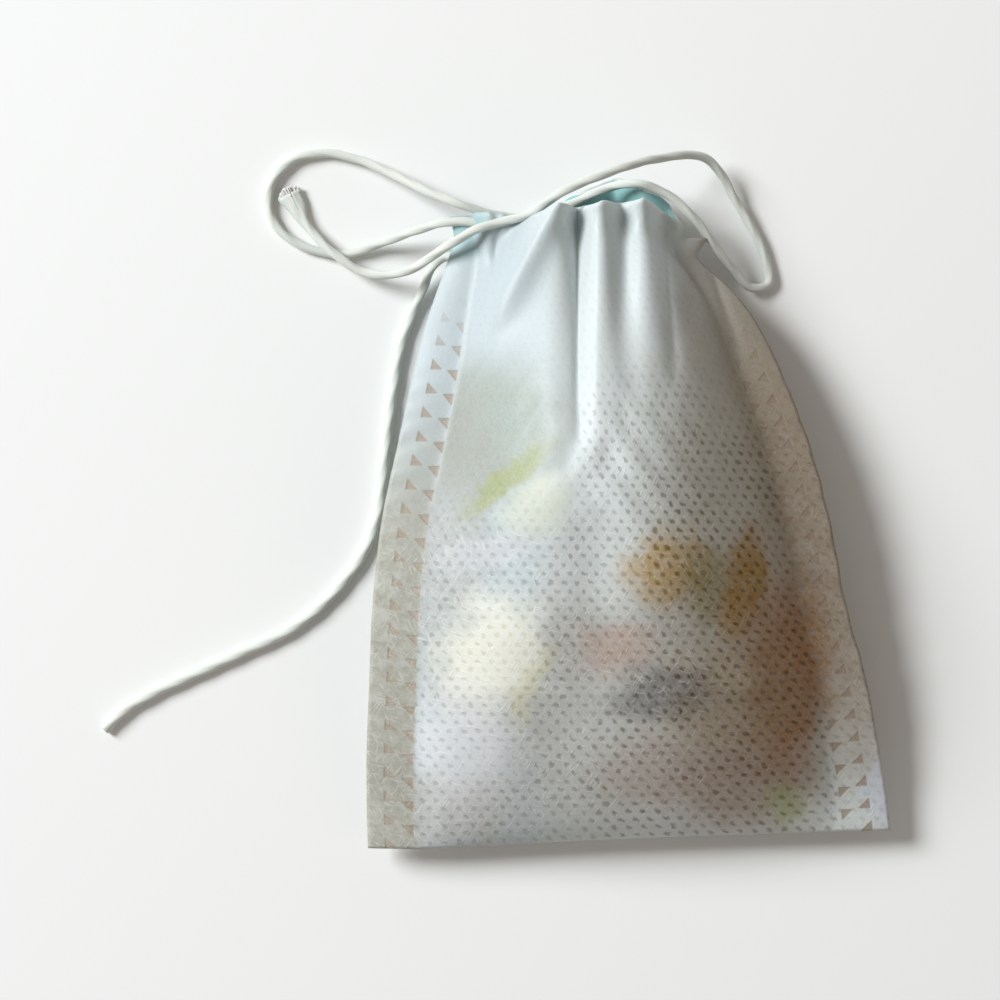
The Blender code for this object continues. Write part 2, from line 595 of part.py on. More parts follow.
def main():
    for old in list(bpy.data.objects):
        bpy.data.objects.remove(old)
    parts = new_collection("drawstring_tea_filter_bag")
    cutters = new_collection("cutters")
    bag = filter_bag(parts, cutters)
    filling(parts, bag)
    drawstring(parts)


main()
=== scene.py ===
"""Looks of the drawstring tea filter bag: cloth, cord, filling, light and camera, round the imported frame."""

import math

import bpy
import numpy as np
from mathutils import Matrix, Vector


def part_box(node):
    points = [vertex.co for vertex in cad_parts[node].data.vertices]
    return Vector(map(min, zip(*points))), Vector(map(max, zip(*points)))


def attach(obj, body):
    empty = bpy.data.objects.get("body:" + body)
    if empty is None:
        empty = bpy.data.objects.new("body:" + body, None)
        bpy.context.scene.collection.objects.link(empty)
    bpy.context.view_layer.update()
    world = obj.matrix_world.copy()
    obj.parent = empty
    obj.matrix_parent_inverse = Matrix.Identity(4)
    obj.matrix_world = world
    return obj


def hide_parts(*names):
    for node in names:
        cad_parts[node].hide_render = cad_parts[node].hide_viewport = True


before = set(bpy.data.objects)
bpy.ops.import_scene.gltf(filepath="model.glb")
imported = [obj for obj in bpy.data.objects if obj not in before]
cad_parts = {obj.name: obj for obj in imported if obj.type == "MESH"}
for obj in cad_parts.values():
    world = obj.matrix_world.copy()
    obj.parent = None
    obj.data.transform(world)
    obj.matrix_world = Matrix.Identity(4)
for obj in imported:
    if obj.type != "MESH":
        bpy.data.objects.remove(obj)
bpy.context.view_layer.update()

MM = 0.001

# The bag's form, as in the part's source
BAG_WIDTH = 69.4 * MM
LEFT_BOTTOM_Y = -43.8 * MM
LEFT_MOUTH_Y = 39.7 * MM
RIGHT_BOTTOM_Y = -41.4 * MM
RIGHT_MOUTH_Y = 36.8 * MM
FRONT_RISE = 13.7 * MM
BACK_DROP = 9.3 * MM
FLAT_PRESS = 1.2 * MM
SEAM_BAND = 6.6 * MM
SEAM_DROOP = 1.2 * MM
NOSE_START = 0.25
# Values at stations from the fold (0) to the mouth (1)
STATIONS = (0.0, 0.07, 0.15, 0.25, 0.38, 0.52, 0.65, 0.75, 0.82, 0.88, 0.93, 0.965, 1.0)
LEFT_EDGE = (0.994, 0.999, 1.0, 0.991, 0.977, 0.939, 0.87, 0.816, 0.775, 0.729, 0.686, 0.663, 0.68)
RIGHT_EDGE = (1.0, 0.98, 0.948, 0.905, 0.824, 0.761, 0.68, 0.594, 0.524, 0.444, 0.343, 0.256, 0.297)
BAND_SHARE = (1.0, 1.0, 1.0, 1.0, 1.0, 1.0, 1.0, 0.95, 0.85, 0.7, 0.55, 0.42, 0.4)
SEAM_HEIGHT = (0.42, 0.5, 0.65, 0.8, 0.95, 1.0, 0.99, 0.95, 0.88, 0.82, 0.76, 0.73, 0.71)
FRONT_SHARE = (0.8, 0.8, 0.8, 0.81, 0.93, 1.0, 0.94, 0.78, 0.64, 0.54, 0.45, 0.38, 0.36)
BACK_SHARE = (0.8, 0.8, 0.8, 0.8, 0.95, 1.0, 0.99, 0.95, 0.84, 0.72, 0.62, 0.56, 0.52)
# The mouth's lips, from the left side (-1) to the right (1)
MOUTH_ACROSS = (-1.0, -0.5, -0.2, 0.1, 0.35, 0.7, 0.9, 1.0)
BACK_LIP = tuple(rise * MM for rise in (0.0, 0.5, 2.4, 5.2, 6.8, 5.0, 2.2, 0.0))
FRONT_LIP = tuple(rise * MM for rise in (0.0, 0.2, 1.8, 2.4, 3.2, 3.4, 1.6, 0.0))
LIP_START = 0.6
NOSE_POWER = 0.6
FRONT_CROWN = (2.2, 0.9)  # powers of the section's curve
BACK_CROWN = (2.6, 0.8)
SIDE_FADE = 0.25  # share of the half width over which gathers die out to the seams
# Gathers, in mm: upper x and y, lower x and y, heights at both ends, half widths at both ends
FRONT_GATHERS = (
    (-6.8, 40.5, -6.5, 13.0, -3.4, -0.3, 1.3, 2.4),
    (-3.9, 41.5, -3.9, 14.0, 2.2, 0.4, 1.7, 2.8),
    (-9.6, 40.5, -19.9, 23.3, 2.2, 1.0, 1.8, 3.0),
    (-14.4, 39.5, -22.3, 28.0, -1.6, -0.4, 1.5, 2.2),
    (-19.0, 39.5, -23.6, 28.0, 1.2, 0.3, 1.5, 2.0),
    (1.6, 41.5, 2.4, 21.0, 2.0, 0.6, 1.6, 2.6),
    (-1.1, 41.5, -0.8, 20.0, -1.8, -0.3, 1.2, 2.0),
    (5.1, 40.5, 9.3, 24.0, -2.0, -0.4, 1.4, 2.2),
    (8.0, 38.5, 14.0, 25.0, 1.2, 0.4, 1.3, 2.0),
)
BACK_GATHERS = (
    (-18.5, 40.5, -21.0, 26.0, -1.2, -0.3, 1.5, 2.4),
    (-14.5, 40.5, -16.5, 22.0, 1.6, 0.3, 1.5, 2.6),
    (-10.5, 41.0, -11.5, 20.0, -1.4, -0.3, 1.5, 2.6),
    (-6.0, 42.0, -5.5, 17.0, 2.2, 0.3, 1.4, 2.6),
    (-1.8, 43.0, 0.0, 20.0, -1.4, -0.3, 1.5, 2.6),
    (2.4, 43.0, 5.0, 22.0, 1.8, 0.3, 1.4, 2.4),
    (6.0, 40.5, 10.0, 25.0, -1.0, -0.3, 1.3, 2.2),
)
# Where the filling lifts or lets down the front, in mm: middle x and y, height, half sizes
FRONT_LUMPS = (
    (-18.0, -17.5, 0.9, 7.5, 8.0),
    (-12.5, 2.0, 0.8, 7.5, 6.0),
    (6.0, -7.0, 0.9, 7.5, 6.5),
    (17.5, -19.0, 0.8, 4.5, 9.0),
    (6.0, -31.0, 0.6, 10.0, 5.0),
    (-4.5, -6.0, -0.9, 4.5, 8.0),
    (-8.5, -28.0, -0.7, 5.0, 6.0),
    (14.0, 6.0, -0.8, 6.0, 9.0),
)

# Sharper creases that only the thin cloth has, in the same form as the gathers
FINE_FOLDS = (
    (-6.9, 40.0, -6.9, 13.0, -0.9, -0.7, 0.55, 0.7),
    (-5.3, 40.0, -5.0, 12.0, 0.4, 0.6, 0.9, 1.4),
    (4.3, 34.0, 5.6, 19.0, -0.5, -0.4, 0.5, 0.9),
    (-17.5, 32.0, -20.5, 20.0, -0.4, -0.3, 0.6, 0.9),
    (10.5, 33.0, 14.5, 22.0, -0.5, -0.3, 0.6, 0.9),
)

# The flat cut of the cloth
FLAT_WIDTH = 70.0 * MM
FLAT_HEIGHT = 90.0 * MM
HEM_DEPTH = 7.0 * MM
CELLS_ACROSS = 70
CELLS_ALONG = 90
BAND_CELLS = 7
CLOTH_HALF = 0.11 * MM
BAND_HALF = 0.22 * MM
SEAM_THICKNESS = 0.5 * MM
HEM_INSIDE = 0.9 * MM
SKIN_RISE = SEAM_THICKNESS / 2 - CLOTH_HALF  # from the middle plane to where the solid's skin is

# Route of the drawstring, in mm, as in the part's source
CORD_DIAMETER = 1.25 * MM
CORD_ROUTE = (
    (-45.1, 43.0, 0.7), (-42.8, 38.9, 0.9), (-40.3, 36.0, 1.7), (-38.2, 34.3, 2.1), (-35.5, 32.6, 2.2),
    (-31.9, 32.1, 3.4), (-28.2, 33.0, 5.4), (-25.6, 34.6, 7.4), (-23.0, 36.2, 8.7), (-19.6, 38.0, 9.2),
    (-16.2, 38.9, 9.4), (-13.1, 39.8, 10.2), (-11.0, 41.2, 11.0), (-8.2, 42.9, 11.4), (-3.9, 44.7, 11.2),
    (0.7, 46.4, 9.6), (5.3, 47.5, 6.6), (8.4, 47.9, 4.6), (10.8, 47.2, 3.1), (12.4, 45.4, 2.2),
    (14.3, 42.0, 1.4), (16.8, 37.8, 0.9), (18.5, 33.6, 0.7), (18.7, 31.0, 0.8), (16.6, 30.4, 1.5),
    (14.0, 32.8, 2.9), (11.6, 35.6, 4.6), (8.6, 39.4, 6.0), (4.9, 42.6, 6.6), (1.0, 44.0, 6.0),
    (-2.6, 43.6, 4.6), (-6.8, 41.8, 3.9), (-11.0, 40.2, 4.1), (-15.2, 39.6, 4.8), (-19.0, 40.2, 5.8),
    (-22.4, 41.3, 6.4), (-26.4, 42.9, 5.2), (-30.6, 45.1, 3.0), (-35.5, 47.4, 1.2), (-40.6, 48.4, 0.7),
    (-44.4, 47.6, 0.7), (-47.0, 45.2, 0.7), (-47.9, 42.0, 0.7), (-46.8, 38.7, 0.7), (-44.4, 36.6, 0.7),
    (-41.4, 35.4, 0.7), (-38.1, 34.9, 0.7), (-33.1, 36.3, 1.6), (-28.2, 37.9, 4.4), (-23.8, 38.9, 6.6),
    (-20.0, 38.6, 6.8), (-17.3, 36.8, 5.6), (-18.4, 34.6, 4.0), (-21.6, 34.2, 3.4), (-24.6, 34.4, 2.9),
    (-26.4, 32.6, 2.0), (-27.2, 30.4, 1.2), (-28.6, 27.2, 0.7), (-30.2, 22.6, 0.7), (-31.1, 17.4, 0.7),
    (-31.9, 11.4, 0.7), (-32.6, 5.0, 0.7), (-33.3, 0.0, 0.7), (-34.9, -4.4, 0.7), (-37.6, -8.4, 0.7),
    (-40.9, -12.0, 0.7), (-45.1, -15.2, 0.7), (-51.0, -18.0, 0.7), (-57.6, -21.0, 0.7),
    (-63.6, -23.8, 0.7), (-67.2, -26.0, 0.7), (-69.7, -28.4, 0.7),
)

# The cord's section, its flared short end and its fibres
ROUTE_SAMPLES = 4000
CORD_STEP = 0.35 * MM
CORD_SIDES = 28
STRANDS = 3
TWIST_LENGTH = 4.2 * MM
TWIST_BODY = 0.94
TWIST_DEPTH = 0.06
FLARE_LENGTH = 5.5 * MM
FLARE_WIDENS = 1.5
FLARE_FLATTENS = 0.3
FLARE_CREASES = 8
CREASE_DEPTH = 0.10
AIM_STEPS = 8  # steps of the cord over which the short end's direction is read
FRAY_STRANDS = 70
FRAY_LENGTH = 1.0 * MM
FRAY_SPREAD = 30.0  # degrees to each side
FRAY_RADIUS = 0.09 * MM
FRAY_SIDES = 6
FRAY_POINTS = 7
FRAY_OVERLAP = 0.5 * MM  # how far the fibres start inside the cord

# How the cloth settles
BEND = 0.5
SLANT = 0.5
LINKS = (  # steps across, steps along, strength
    (1, 0, 1.0), (0, 1, 1.0), (1, 1, SLANT), (1, -1, SLANT),
    (2, 0, BEND), (0, 2, BEND), (4, 0, BEND / 2), (0, 4, BEND / 2),
)
DRAWN_BELOW = 0.85  # share of a link's length that is taken from the frame's form, near the fold
DRAWN_MORE = 0.15  # and what is added to it in the neck
KEEP_FORM = 0.06
KEEP_MOUTH = 0.3
KEEP_EDGE = 0.2
KEEP_SPEED = 0.9
PRESSURE = 0.004 * MM
NECK_PRESSURE_LOSS = 0.9
WEIGHT = 0.0004 * MM
STEPS = 220
ROUNDS = 6
TABLE_GAP = 0.02 * MM
LUMP_SCALE = 1.12
LUMP_GAP = 0.4 * MM
SMOOTHINGS = 4
INSIDE_START = 4  # rows of the fine grid between the fold and the inside's first row
RIM_TURNS = (45.0, 90.0, 135.0)  # degrees round the mouth's rounded edge

# The cloth's pattern on its flat cut
UV_SCALE = 10.0  # the flat cut's metres in the UV map
INSIDE_SHIFT = 0.1  # how far, in metres, the inside's place on the flat cut is moved aside
INSIDE_MARGIN = 0.005
FIBRE_TURNS = (28.0, -35.0, 75.0)
FIBRE_STRETCH = 8.0
BOND_ACROSS = 1.95 * MM
BOND_ALONG = 1.25 * MM
BOND_RADIUS = 0.32 * MM
BOND_WOBBLE = 0.6 * MM
BOND_SLANT = 0.45
SEAL_PITCH = 3.4 * MM
SEAL_WIDTH = 1.7 * MM
SEAL_TALL = 1.6 * MM
SEAL_COLUMNS = (3.3 * MM, 5.7 * MM)
SEAL_SOFTNESS = 0.08
NECK_HEIGHT = (66.0 * MM, 80.0 * MM)  # between these heights the seals fade and plain cloth takes over
DOTS_FADE = (54.0 * MM, 72.0 * MM)  # heights between which the bond dots fade into the neck
DOTS_LEFT = 0.12
FILM_EDGE = (-5.0 * MM, -9.0 * MM)  # left of this the dots fade lower down
FILM_DROP = 17.0 * MM
WOBBLE_GRAIN = 900.0
UNEVEN_GRAIN = 1500.0
PATCH_GRAIN = 120.0
FIBRE_GRAIN = 2600.0
STREAK_GRAIN = 3000.0
CLOUD_GRAIN = 650.0
BROAD_GRAIN = 60.0
FIELD_GRAIN = 260.0
# The dots and threads are the cloth's own; their change from left to right is painted light, following the lit
# left side
DOT_LEFT_RIGHT = (0.24, 0.74)  # how dark the dots are on the left and on the right
PALE_LEFT_RIGHT = (0.38, 0.14)  # how pale the threads are on the left and on the right
SEAL_SHADE = 0.80
# how strongly the painted teal shade inside the mouth shows
INSIDE_SHADE_SHARE = 0.85
TRANSLUCENT = 0.22
DOT_OPENING = 0.16
SEAL_OPENING = 0.22
CLOTH_OPENING = 0.05

CLOTH_DARK = (0.71, 0.775, 0.78)
CLOTH_LIGHT = (0.81, 0.835, 0.83)
# Painted shade: the cloth drawn darker and cooler towards the left
CLOTH_LEFT_PAINTED_SHADE = (0.60, 0.67, 0.70)
# Painted shade: the left seam band warm and darker below the neck
BAND_PAINTED_SHADE = (0.50, 0.49, 0.42)
DOT_TINT = (0.38, 0.35, 0.31)
SEAL_TINT = (0.46, 0.34, 0.25)
FIBRE_TINT = (0.93, 0.94, 0.92)
THREAD_TINT = (0.95, 0.96, 0.94)
# Painted shade: the teal-tinted shadow inside the mouth
INSIDE_TEAL_PAINTED_SHADE = (0.22, 0.50, 0.50)

# Colour fields on the cloth, mostly the filling seen through it; a few are painted light and shade, each said
# so above it: photo pixel of its middle, half sizes in pixels, turn, colour, how strongly
FIELDS = (
    ("filled_right", (758, 560), (122, 300), 0, (0.42, 0.35, 0.23), 0.84),
    ("filled_middle", (620, 705), (160, 140), 0, (0.55, 0.50, 0.43), 0.60),
    # Painted shade: warm and dark down the right side, where the bag turns down to its seam band
    ("right_edge_painted_shade", (812, 520), (52, 290), 15, (0.36, 0.25, 0.15), 0.85),
    ("soft_green", (492, 430), (74, 76), 0, (0.34, 0.38, 0.30), 0.85),
    ("left_grey", (448, 540), (50, 190), 0, (0.40, 0.38, 0.34), 0.72),
    ("bottom_left", (440, 810), (80, 44), 0, (0.50, 0.44, 0.37), 0.65),
    # Painted highlight: a near-white strip along the lit side of the fold beside the neck's crease
    ("ridge_painted_highlight", (602, 455), (28, 96), -6, (0.92, 0.97, 0.97), 0.70),
    # Painted shade: dark brown over the gathered neck on its right, by the mouth's right corner
    ("neck_right_painted_shade", (728, 285), (62, 116), -8, (0.36, 0.31, 0.24), 0.85),
    ("pale_corner", (882, 797), (17, 40), 0, (0.72, 0.76, 0.84), 1.00),
    ("leaf_green", (508, 478), (58, 12), 38, (0.40, 0.43, 0.11), 0.80),
    ("lemon_flesh", (536, 508), (40, 28), 38, (0.82, 0.82, 0.60), 0.60),
    # Partly the lower lemon slice seen through the cloth, partly painted light: near white where the
    # left-facing belly is brightest
    ("lemon_lower_painted_light", (492, 652), (50, 64), -30, (1.0, 0.98, 0.84), 0.98),
    ("lemon_edge", (530, 682), (14, 44), -24, (0.76, 0.71, 0.36), 0.40),
    ("lilac_upper", (484, 552), (50, 18), 12, (0.74, 0.71, 0.76), 0.50),
    ("lilac_left", (462, 748), (56, 62), 0, (0.86, 0.85, 0.88), 0.78),
    ("grey_middle", (575, 640), (38, 42), -10, (0.34, 0.32, 0.28), 0.50),
    ("rose", (616, 645), (38, 28), 8, (0.66, 0.41, 0.30), 0.70),
    ("peach", (664, 568), (44, 36), 0, (0.51, 0.32, 0.09), 1.10),
    ("olive", (702, 586), (26, 40), 10, (0.33, 0.26, 0.08), 0.95),
    ("orange_peel", (742, 584), (25, 58), -8, (0.40, 0.20, 0.0), 1.20),
    ("brown", (784, 680), (46, 104), 0, (0.38, 0.15, 0.02), 1.12),
    ("brown_middle", (726, 700), (66, 62), 0, (0.38, 0.26, 0.13), 0.80),
    ("brown_low", (742, 786), (76, 40), 4, (0.34, 0.19, 0.10), 0.74),
    ("rose_low", (650, 770), (60, 40), 4, (0.56, 0.41, 0.33), 0.50),
    ("blueberry", (660, 690), (48, 30), 4, (0.11, 0.10, 0.10), 0.72),
    ("mint", (786, 802), (22, 24), 20, (0.38, 0.45, 0.18), 0.70),
)
# Painted shade: a teal-tinted shadow on the outside of the mouth's left corner
MOUTH_CORNER_PAINTED_SHADE = ("mouth_teal_painted_shade", (460, 229), (30, 26), 0, (0.34, 0.56, 0.57), 0.75)
FIELD_EDGE = (1.35, 0.45)  # where a field starts and is full, in shares of its half sizes
FIELD_WARP = 0.005
SHOWN_BY_CLOTH = 0.75
SHOWN_BY_DOTS = 0.25

# The filling's pieces, with their light and dark tones
FILLING = (
    ("apple_cube_left", (0.66, 0.52, 0.32), (0.44, 0.28, 0.14)),
    ("apple_cube_right", (0.62, 0.46, 0.28), (0.40, 0.24, 0.12)),
    ("apple_slice", (0.46, 0.27, 0.14), (0.24, 0.12, 0.06)),
    ("hawthorn_slice", (0.60, 0.34, 0.26), (0.34, 0.12, 0.08)),
    ("ginger_piece", (0.64, 0.54, 0.34), (0.42, 0.32, 0.18)),
    ("orange_slice", (0.80, 0.50, 0.16), (0.56, 0.28, 0.06)),
    ("orange_peel", (0.80, 0.58, 0.10), (0.58, 0.34, 0.04)),
    ("peach_cube", (0.90, 0.54, 0.16), (0.66, 0.30, 0.06)),
    ("lemon_slice_upper", (0.82, 0.80, 0.46), (0.46, 0.52, 0.16)),
    ("lemon_slice_lower", (0.88, 0.84, 0.52), (0.66, 0.60, 0.28)),
    ("plum_half", (0.26, 0.14, 0.14), (0.10, 0.05, 0.07)),
    ("blueberry", (0.14, 0.14, 0.24), (0.05, 0.05, 0.09)),
    ("rosebud", (0.76, 0.38, 0.36), (0.46, 0.14, 0.16)),
    ("mint_leaf", (0.36, 0.50, 0.16), (0.18, 0.28, 0.08)),
    ("lavender_head", (0.48, 0.44, 0.58), (0.26, 0.22, 0.34)),
)
FILLING_SCALE = 420.0
FILLING_ROUGHNESS = 0.75
FILLING_RELIEF = 0.3 * MM

# The table and the light
FLOOR_REACH = 1.5
FLOOR_COLOUR = (0.90, 0.90, 0.89, 1.0)
WORLD_COLOUR = (1.0, 0.95, 0.89, 1.0)
WORLD_STRENGTH = 0.24

# The photograph's frame
PIXELS_PER_MM = 7.6
PHOTO_MIDDLE = (629.5, 517.0)  # the pixel over the frame's origin
PHOTO_SIZE = 1000.0
CAMERA_HEIGHT = 0.62
VIEWED_HEIGHT = 8.0 * MM
SENSOR = 36.0


def smooth_step(value, low, high):
    share = np.clip((value - low) / (high - low), 0.0, 1.0)
    return share * share * (3.0 - 2.0 * share)


def through(stations, values, at):
    """A smooth curve through the stations."""
    stations = np.asarray(stations, float)
    values = np.asarray(values, float)
    slopes = np.gradient(values, stations)
    at = np.clip(np.asarray(at, float), stations[0], stations[-1])
    cell = np.clip(np.searchsorted(stations, at, side="right") - 1, 0, len(stations) - 2)
    span = stations[cell + 1] - stations[cell]
    part = (at - stations[cell]) / span
    start, end = values[cell], values[cell + 1]
    start_slope, end_slope = slopes[cell] * span, slopes[cell + 1] * span
    square, cube = part**2, part**3
    return (
        (2 * cube - 3 * square + 1) * start
        + (cube - 2 * square + part) * start_slope
        + (3 * square - 2 * cube) * end
        + (cube - square) * end_slope
    )


def gathers_at(gathers, x, y):
    """Height that the gathers add at (x, y)."""
    total = np.zeros(np.broadcast(x, y).shape)
    for x0, y0, x1, y1, high0, high1, half0, half1 in gathers:
        along = (y0 * MM - y) / ((y0 - y1) * MM)
        part = np.clip(along, 0.0, 1.0)
        middle = (x0 + (x1 - x0) * part) * MM
        half = (half0 + (half1 - half0) * part) * MM
        height = (high0 + (high1 - high0) * part) * MM
        fade = 1.0 - smooth_step(along, 0.8, 1.25)
        total = total + height * fade * np.exp(-(((x - middle) / half) ** 2))
    return total


def lumps_at(x, y):
    """Height that the filling's upper pieces add to the front at (x, y)."""
    total = np.zeros(np.broadcast(x, y).shape)
    for middle_x, middle_y, height, half_x, half_y in FRONT_LUMPS:
        away = ((x / MM - middle_x) / half_x) ** 2 + ((y / MM - middle_y) / half_y) ** 2
        total = total + height * MM * np.exp(-away)
    return total


def designed_surface(front):
    """The middle of the cloth as the frame has it, on the cloth's own grid."""
    column = np.arange(CELLS_ACROSS + 1)
    row = np.arange(CELLS_ALONG + 1)
    v = (row / CELLS_ALONG)[None, :]
    i = column[:, None] * np.ones_like(v)
    v = v * np.ones_like(i)
    half = BAG_WIDTH / 2
    left_x = -half * through(STATIONS, LEFT_EDGE, v)
    right_x = half * through(STATIONS, RIGHT_EDGE, v)
    left_y = LEFT_BOTTOM_Y + (LEFT_MOUTH_Y - LEFT_BOTTOM_Y) * v
    right_y = RIGHT_BOTTOM_Y + (RIGHT_MOUTH_Y - RIGHT_BOTTOM_Y) * v
    band = SEAM_BAND * through(STATIONS, BAND_SHARE, v)
    seam = BACK_DROP * through(STATIONS, SEAM_HEIGHT, v)
    s = np.clip((i - BAND_CELLS) / (CELLS_ACROSS - 2 * BAND_CELLS) * 2.0 - 1.0, -1.0, 1.0)
    x = left_x + band + (right_x - left_x - 2 * band) * (s + 1.0) / 2.0
    y = left_y + (right_y - left_y) * (s + 1.0) / 2.0
    y = y + through(MOUTH_ACROSS, FRONT_LIP if front else BACK_LIP, s) * smooth_step(v, LIP_START, 1.0)
    swelling = np.clip(v / NOSE_START, 0.0, 1.0) ** NOSE_POWER
    inside = smooth_step(1.0 - np.abs(s), 0.0, SIDE_FADE)
    if front:
        crown = (1.0 - np.abs(s) ** FRONT_CROWN[0]) ** FRONT_CROWN[1]
        rise = FRONT_RISE * through(STATIONS, FRONT_SHARE, v) * swelling * crown
        rise = rise + gathers_at(FRONT_GATHERS, x, y) * inside + lumps_at(x, y) * swelling * crown
        z = seam + np.maximum(rise, 0.0) + SKIN_RISE * inside
    else:
        drop = (BACK_DROP + FLAT_PRESS) * through(STATIONS, BACK_SHARE, v) * swelling
        crown = (1.0 - np.abs(s) ** BACK_CROWN[0]) ** BACK_CROWN[1]
        drop = drop * crown - gathers_at(BACK_GATHERS, x, y) * inside
        z = np.maximum(seam - np.maximum(drop, 0.0) - SKIN_RISE * inside, CLOTH_HALF)
    outward = np.where(i < BAND_CELLS, 1.0 - i / BAND_CELLS, 0.0)
    outward = np.where(i > CELLS_ACROSS - BAND_CELLS, 1.0 - (CELLS_ACROSS - i) / BAND_CELLS, outward)
    x = np.where(i < BAND_CELLS, left_x + band * (1.0 - outward), x)
    x = np.where(i > CELLS_ACROSS - BAND_CELLS, right_x - band * (1.0 - outward), x)
    z = z - SEAM_DROOP * np.minimum(1.0, seam / BACK_DROP) * outward**2
    return np.stack([x, y, z], axis=2)


def relaxed(front, back):
    """Lets the panels find their folds: flat lengths kept, seams shared, filling and table in the way."""
    across, along = CELLS_ACROSS + 1, CELLS_ALONG + 1
    front_number = np.arange(across * along).reshape(across, along)
    back_number = front_number.copy()
    inner = slice(BAND_CELLS + 1, CELLS_ACROSS - BAND_CELLS)
    own = (CELLS_ACROSS - 2 * BAND_CELLS - 1) * (along - 1)
    back_number[inner, 1:] = across * along + np.arange(own).reshape(-1, along - 1)
    goal = np.zeros((across * along + own, 3))
    goal[back_number.ravel()] = back.reshape(-1, 3)
    goal[front_number.ravel()] = front.reshape(-1, 3)
    place = goal.copy()

    wide, tall = FLAT_WIDTH / CELLS_ACROSS, FLAT_HEIGHT / CELLS_ALONG
    share = np.arange(along) / CELLS_ALONG
    drawn = DRAWN_BELOW + DRAWN_MORE * smooth_step(share, 0.5, 0.9)

    def links(number, step_i, step_j, strength, skip_band):
        """Pairs of grid points a step apart, in groups in which no point comes twice."""
        grid_i, grid_j = np.meshgrid(np.arange(across - step_i), np.arange(along), indexing="ij")
        low_j = max(0, -step_j)
        high_j = along - max(0, step_j)
        keep = (grid_j >= low_j) & (grid_j < high_j)
        if skip_band:
            keep &= (grid_i >= BAND_CELLS) & (grid_i + step_i <= CELLS_ACROSS - BAND_CELLS)
            keep &= ~((step_j == 0) & (grid_j == 0))
            on_seam = (grid_i == BAND_CELLS) | (grid_i == CELLS_ACROSS - BAND_CELLS)
            keep &= ~((step_i == 0) & on_seam)
        found = []
        for part in range(2):
            counted = (grid_i // step_i) if step_i else (grid_j // step_j)
            chosen = keep & (counted % 2 == part)
            a = number[grid_i[chosen], grid_j[chosen]]
            b = number[grid_i[chosen] + step_i, grid_j[chosen] + step_j]
            flat = math.hypot(step_i * wide, step_j * tall)
            kept = drawn[grid_j[chosen]]
            length = flat * (1.0 - kept) + np.linalg.norm(goal[a] - goal[b], axis=1) * kept
            found.append((a, b, length, strength))
        return found

    groups = []
    for number, skip_band in ((front_number, False), (back_number, True)):
        for step_i, step_j, strength in LINKS:
            groups += links(number, step_i, step_j, strength, skip_band)

    held = KEEP_FORM + KEEP_MOUTH * smooth_step(share, 0.75, 0.97)
    hold = np.zeros(len(place))
    for number in (back_number, front_number):
        hold[number.ravel()] = np.broadcast_to(held, (across, along)).ravel()
    edge = np.concatenate([front_number[0], front_number[-1], front_number[:, 0]])
    push = PRESSURE * (1.0 - NECK_PRESSURE_LOSS * smooth_step(share, 0.6, 0.9))[None, :, None]
    lumps = filling_lumps()
    before = place.copy()
    for _ in range(STEPS):
        speed = (place - before) * KEEP_SPEED
        before = place.copy()
        place = place + speed
        for number, outward in ((back_number, -1.0), (front_number, 1.0)):
            blown = outward * (grid_normals(place[number]) * push)
            place[number[inner, 1:]] += blown[inner, 1:]
        place[:, 2] -= WEIGHT
        place += (goal - place) * hold[:, None]
        place[edge, :2] += (goal[edge, :2] - place[edge, :2]) * KEEP_EDGE
        for middle, sides in lumps:
            offset = (place - middle) / sides
            deep = np.linalg.norm(offset, axis=1)
            inside = deep < 1.0
            place[inside] = middle + offset[inside] / np.maximum(deep[inside, None], 1e-6) * sides
        for _ in range(ROUNDS):
            for a, b, length, strength in groups:
                gap = place[b] - place[a]
                size = np.maximum(np.sqrt((gap * gap).sum(axis=1)), 1e-9)
                move = gap * (0.5 * strength * (1.0 - length / size))[:, None]
                place[a] += move
                place[b] -= move
        place[:, 2] = np.maximum(place[:, 2], CLOTH_HALF + TABLE_GAP)
    return place[front_number], place[back_number]


def filling_lumps():
    """The filling's pieces as ellipsoids that the cloth stays outside of."""
    lumps = []
    for name in sorted(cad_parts):
        if name in ("filter_bag", "drawstring"):
            continue
        low, high = (np.array(corner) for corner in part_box(name))
        lumps.append(((low + high) / 2, (high - low) / 2 * LUMP_SCALE + LUMP_GAP))
    return lumps


def softened(grid, times, share=0.35):
    """Evens out the grain of the grid."""
    for _ in range(times):
        middle = (grid[:-2, 1:-1] + grid[2:, 1:-1] + grid[1:-1, :-2] + grid[1:-1, 2:]) / 4
        grid[1:-1, 1:-1] += (middle - grid[1:-1, 1:-1]) * share
    return grid


def doubled(grid):
    """Twice the points along the first axis, on a smooth curve through the old ones."""
    low = 2 * grid[:1] - grid[1:2]
    high = 2 * grid[-1:] - grid[-2:-1]
    longer = np.concatenate([low, grid, high])
    between = (9 * (longer[1:-2] + longer[2:-1]) - longer[:-3] - longer[3:]) / 16
    fine = np.empty((2 * len(grid) - 1,) + grid.shape[1:])
    fine[::2] = grid
    fine[1::2] = between
    return fine


def finer(grid):
    return np.swapaxes(doubled(np.swapaxes(doubled(grid), 0, 1)), 0, 1)


def grid_normals(grid):
    flow = np.cross(np.gradient(grid, axis=0), np.gradient(grid, axis=1))
    return flow / np.maximum(np.linalg.norm(flow, axis=2, keepdims=True), 1e-12)


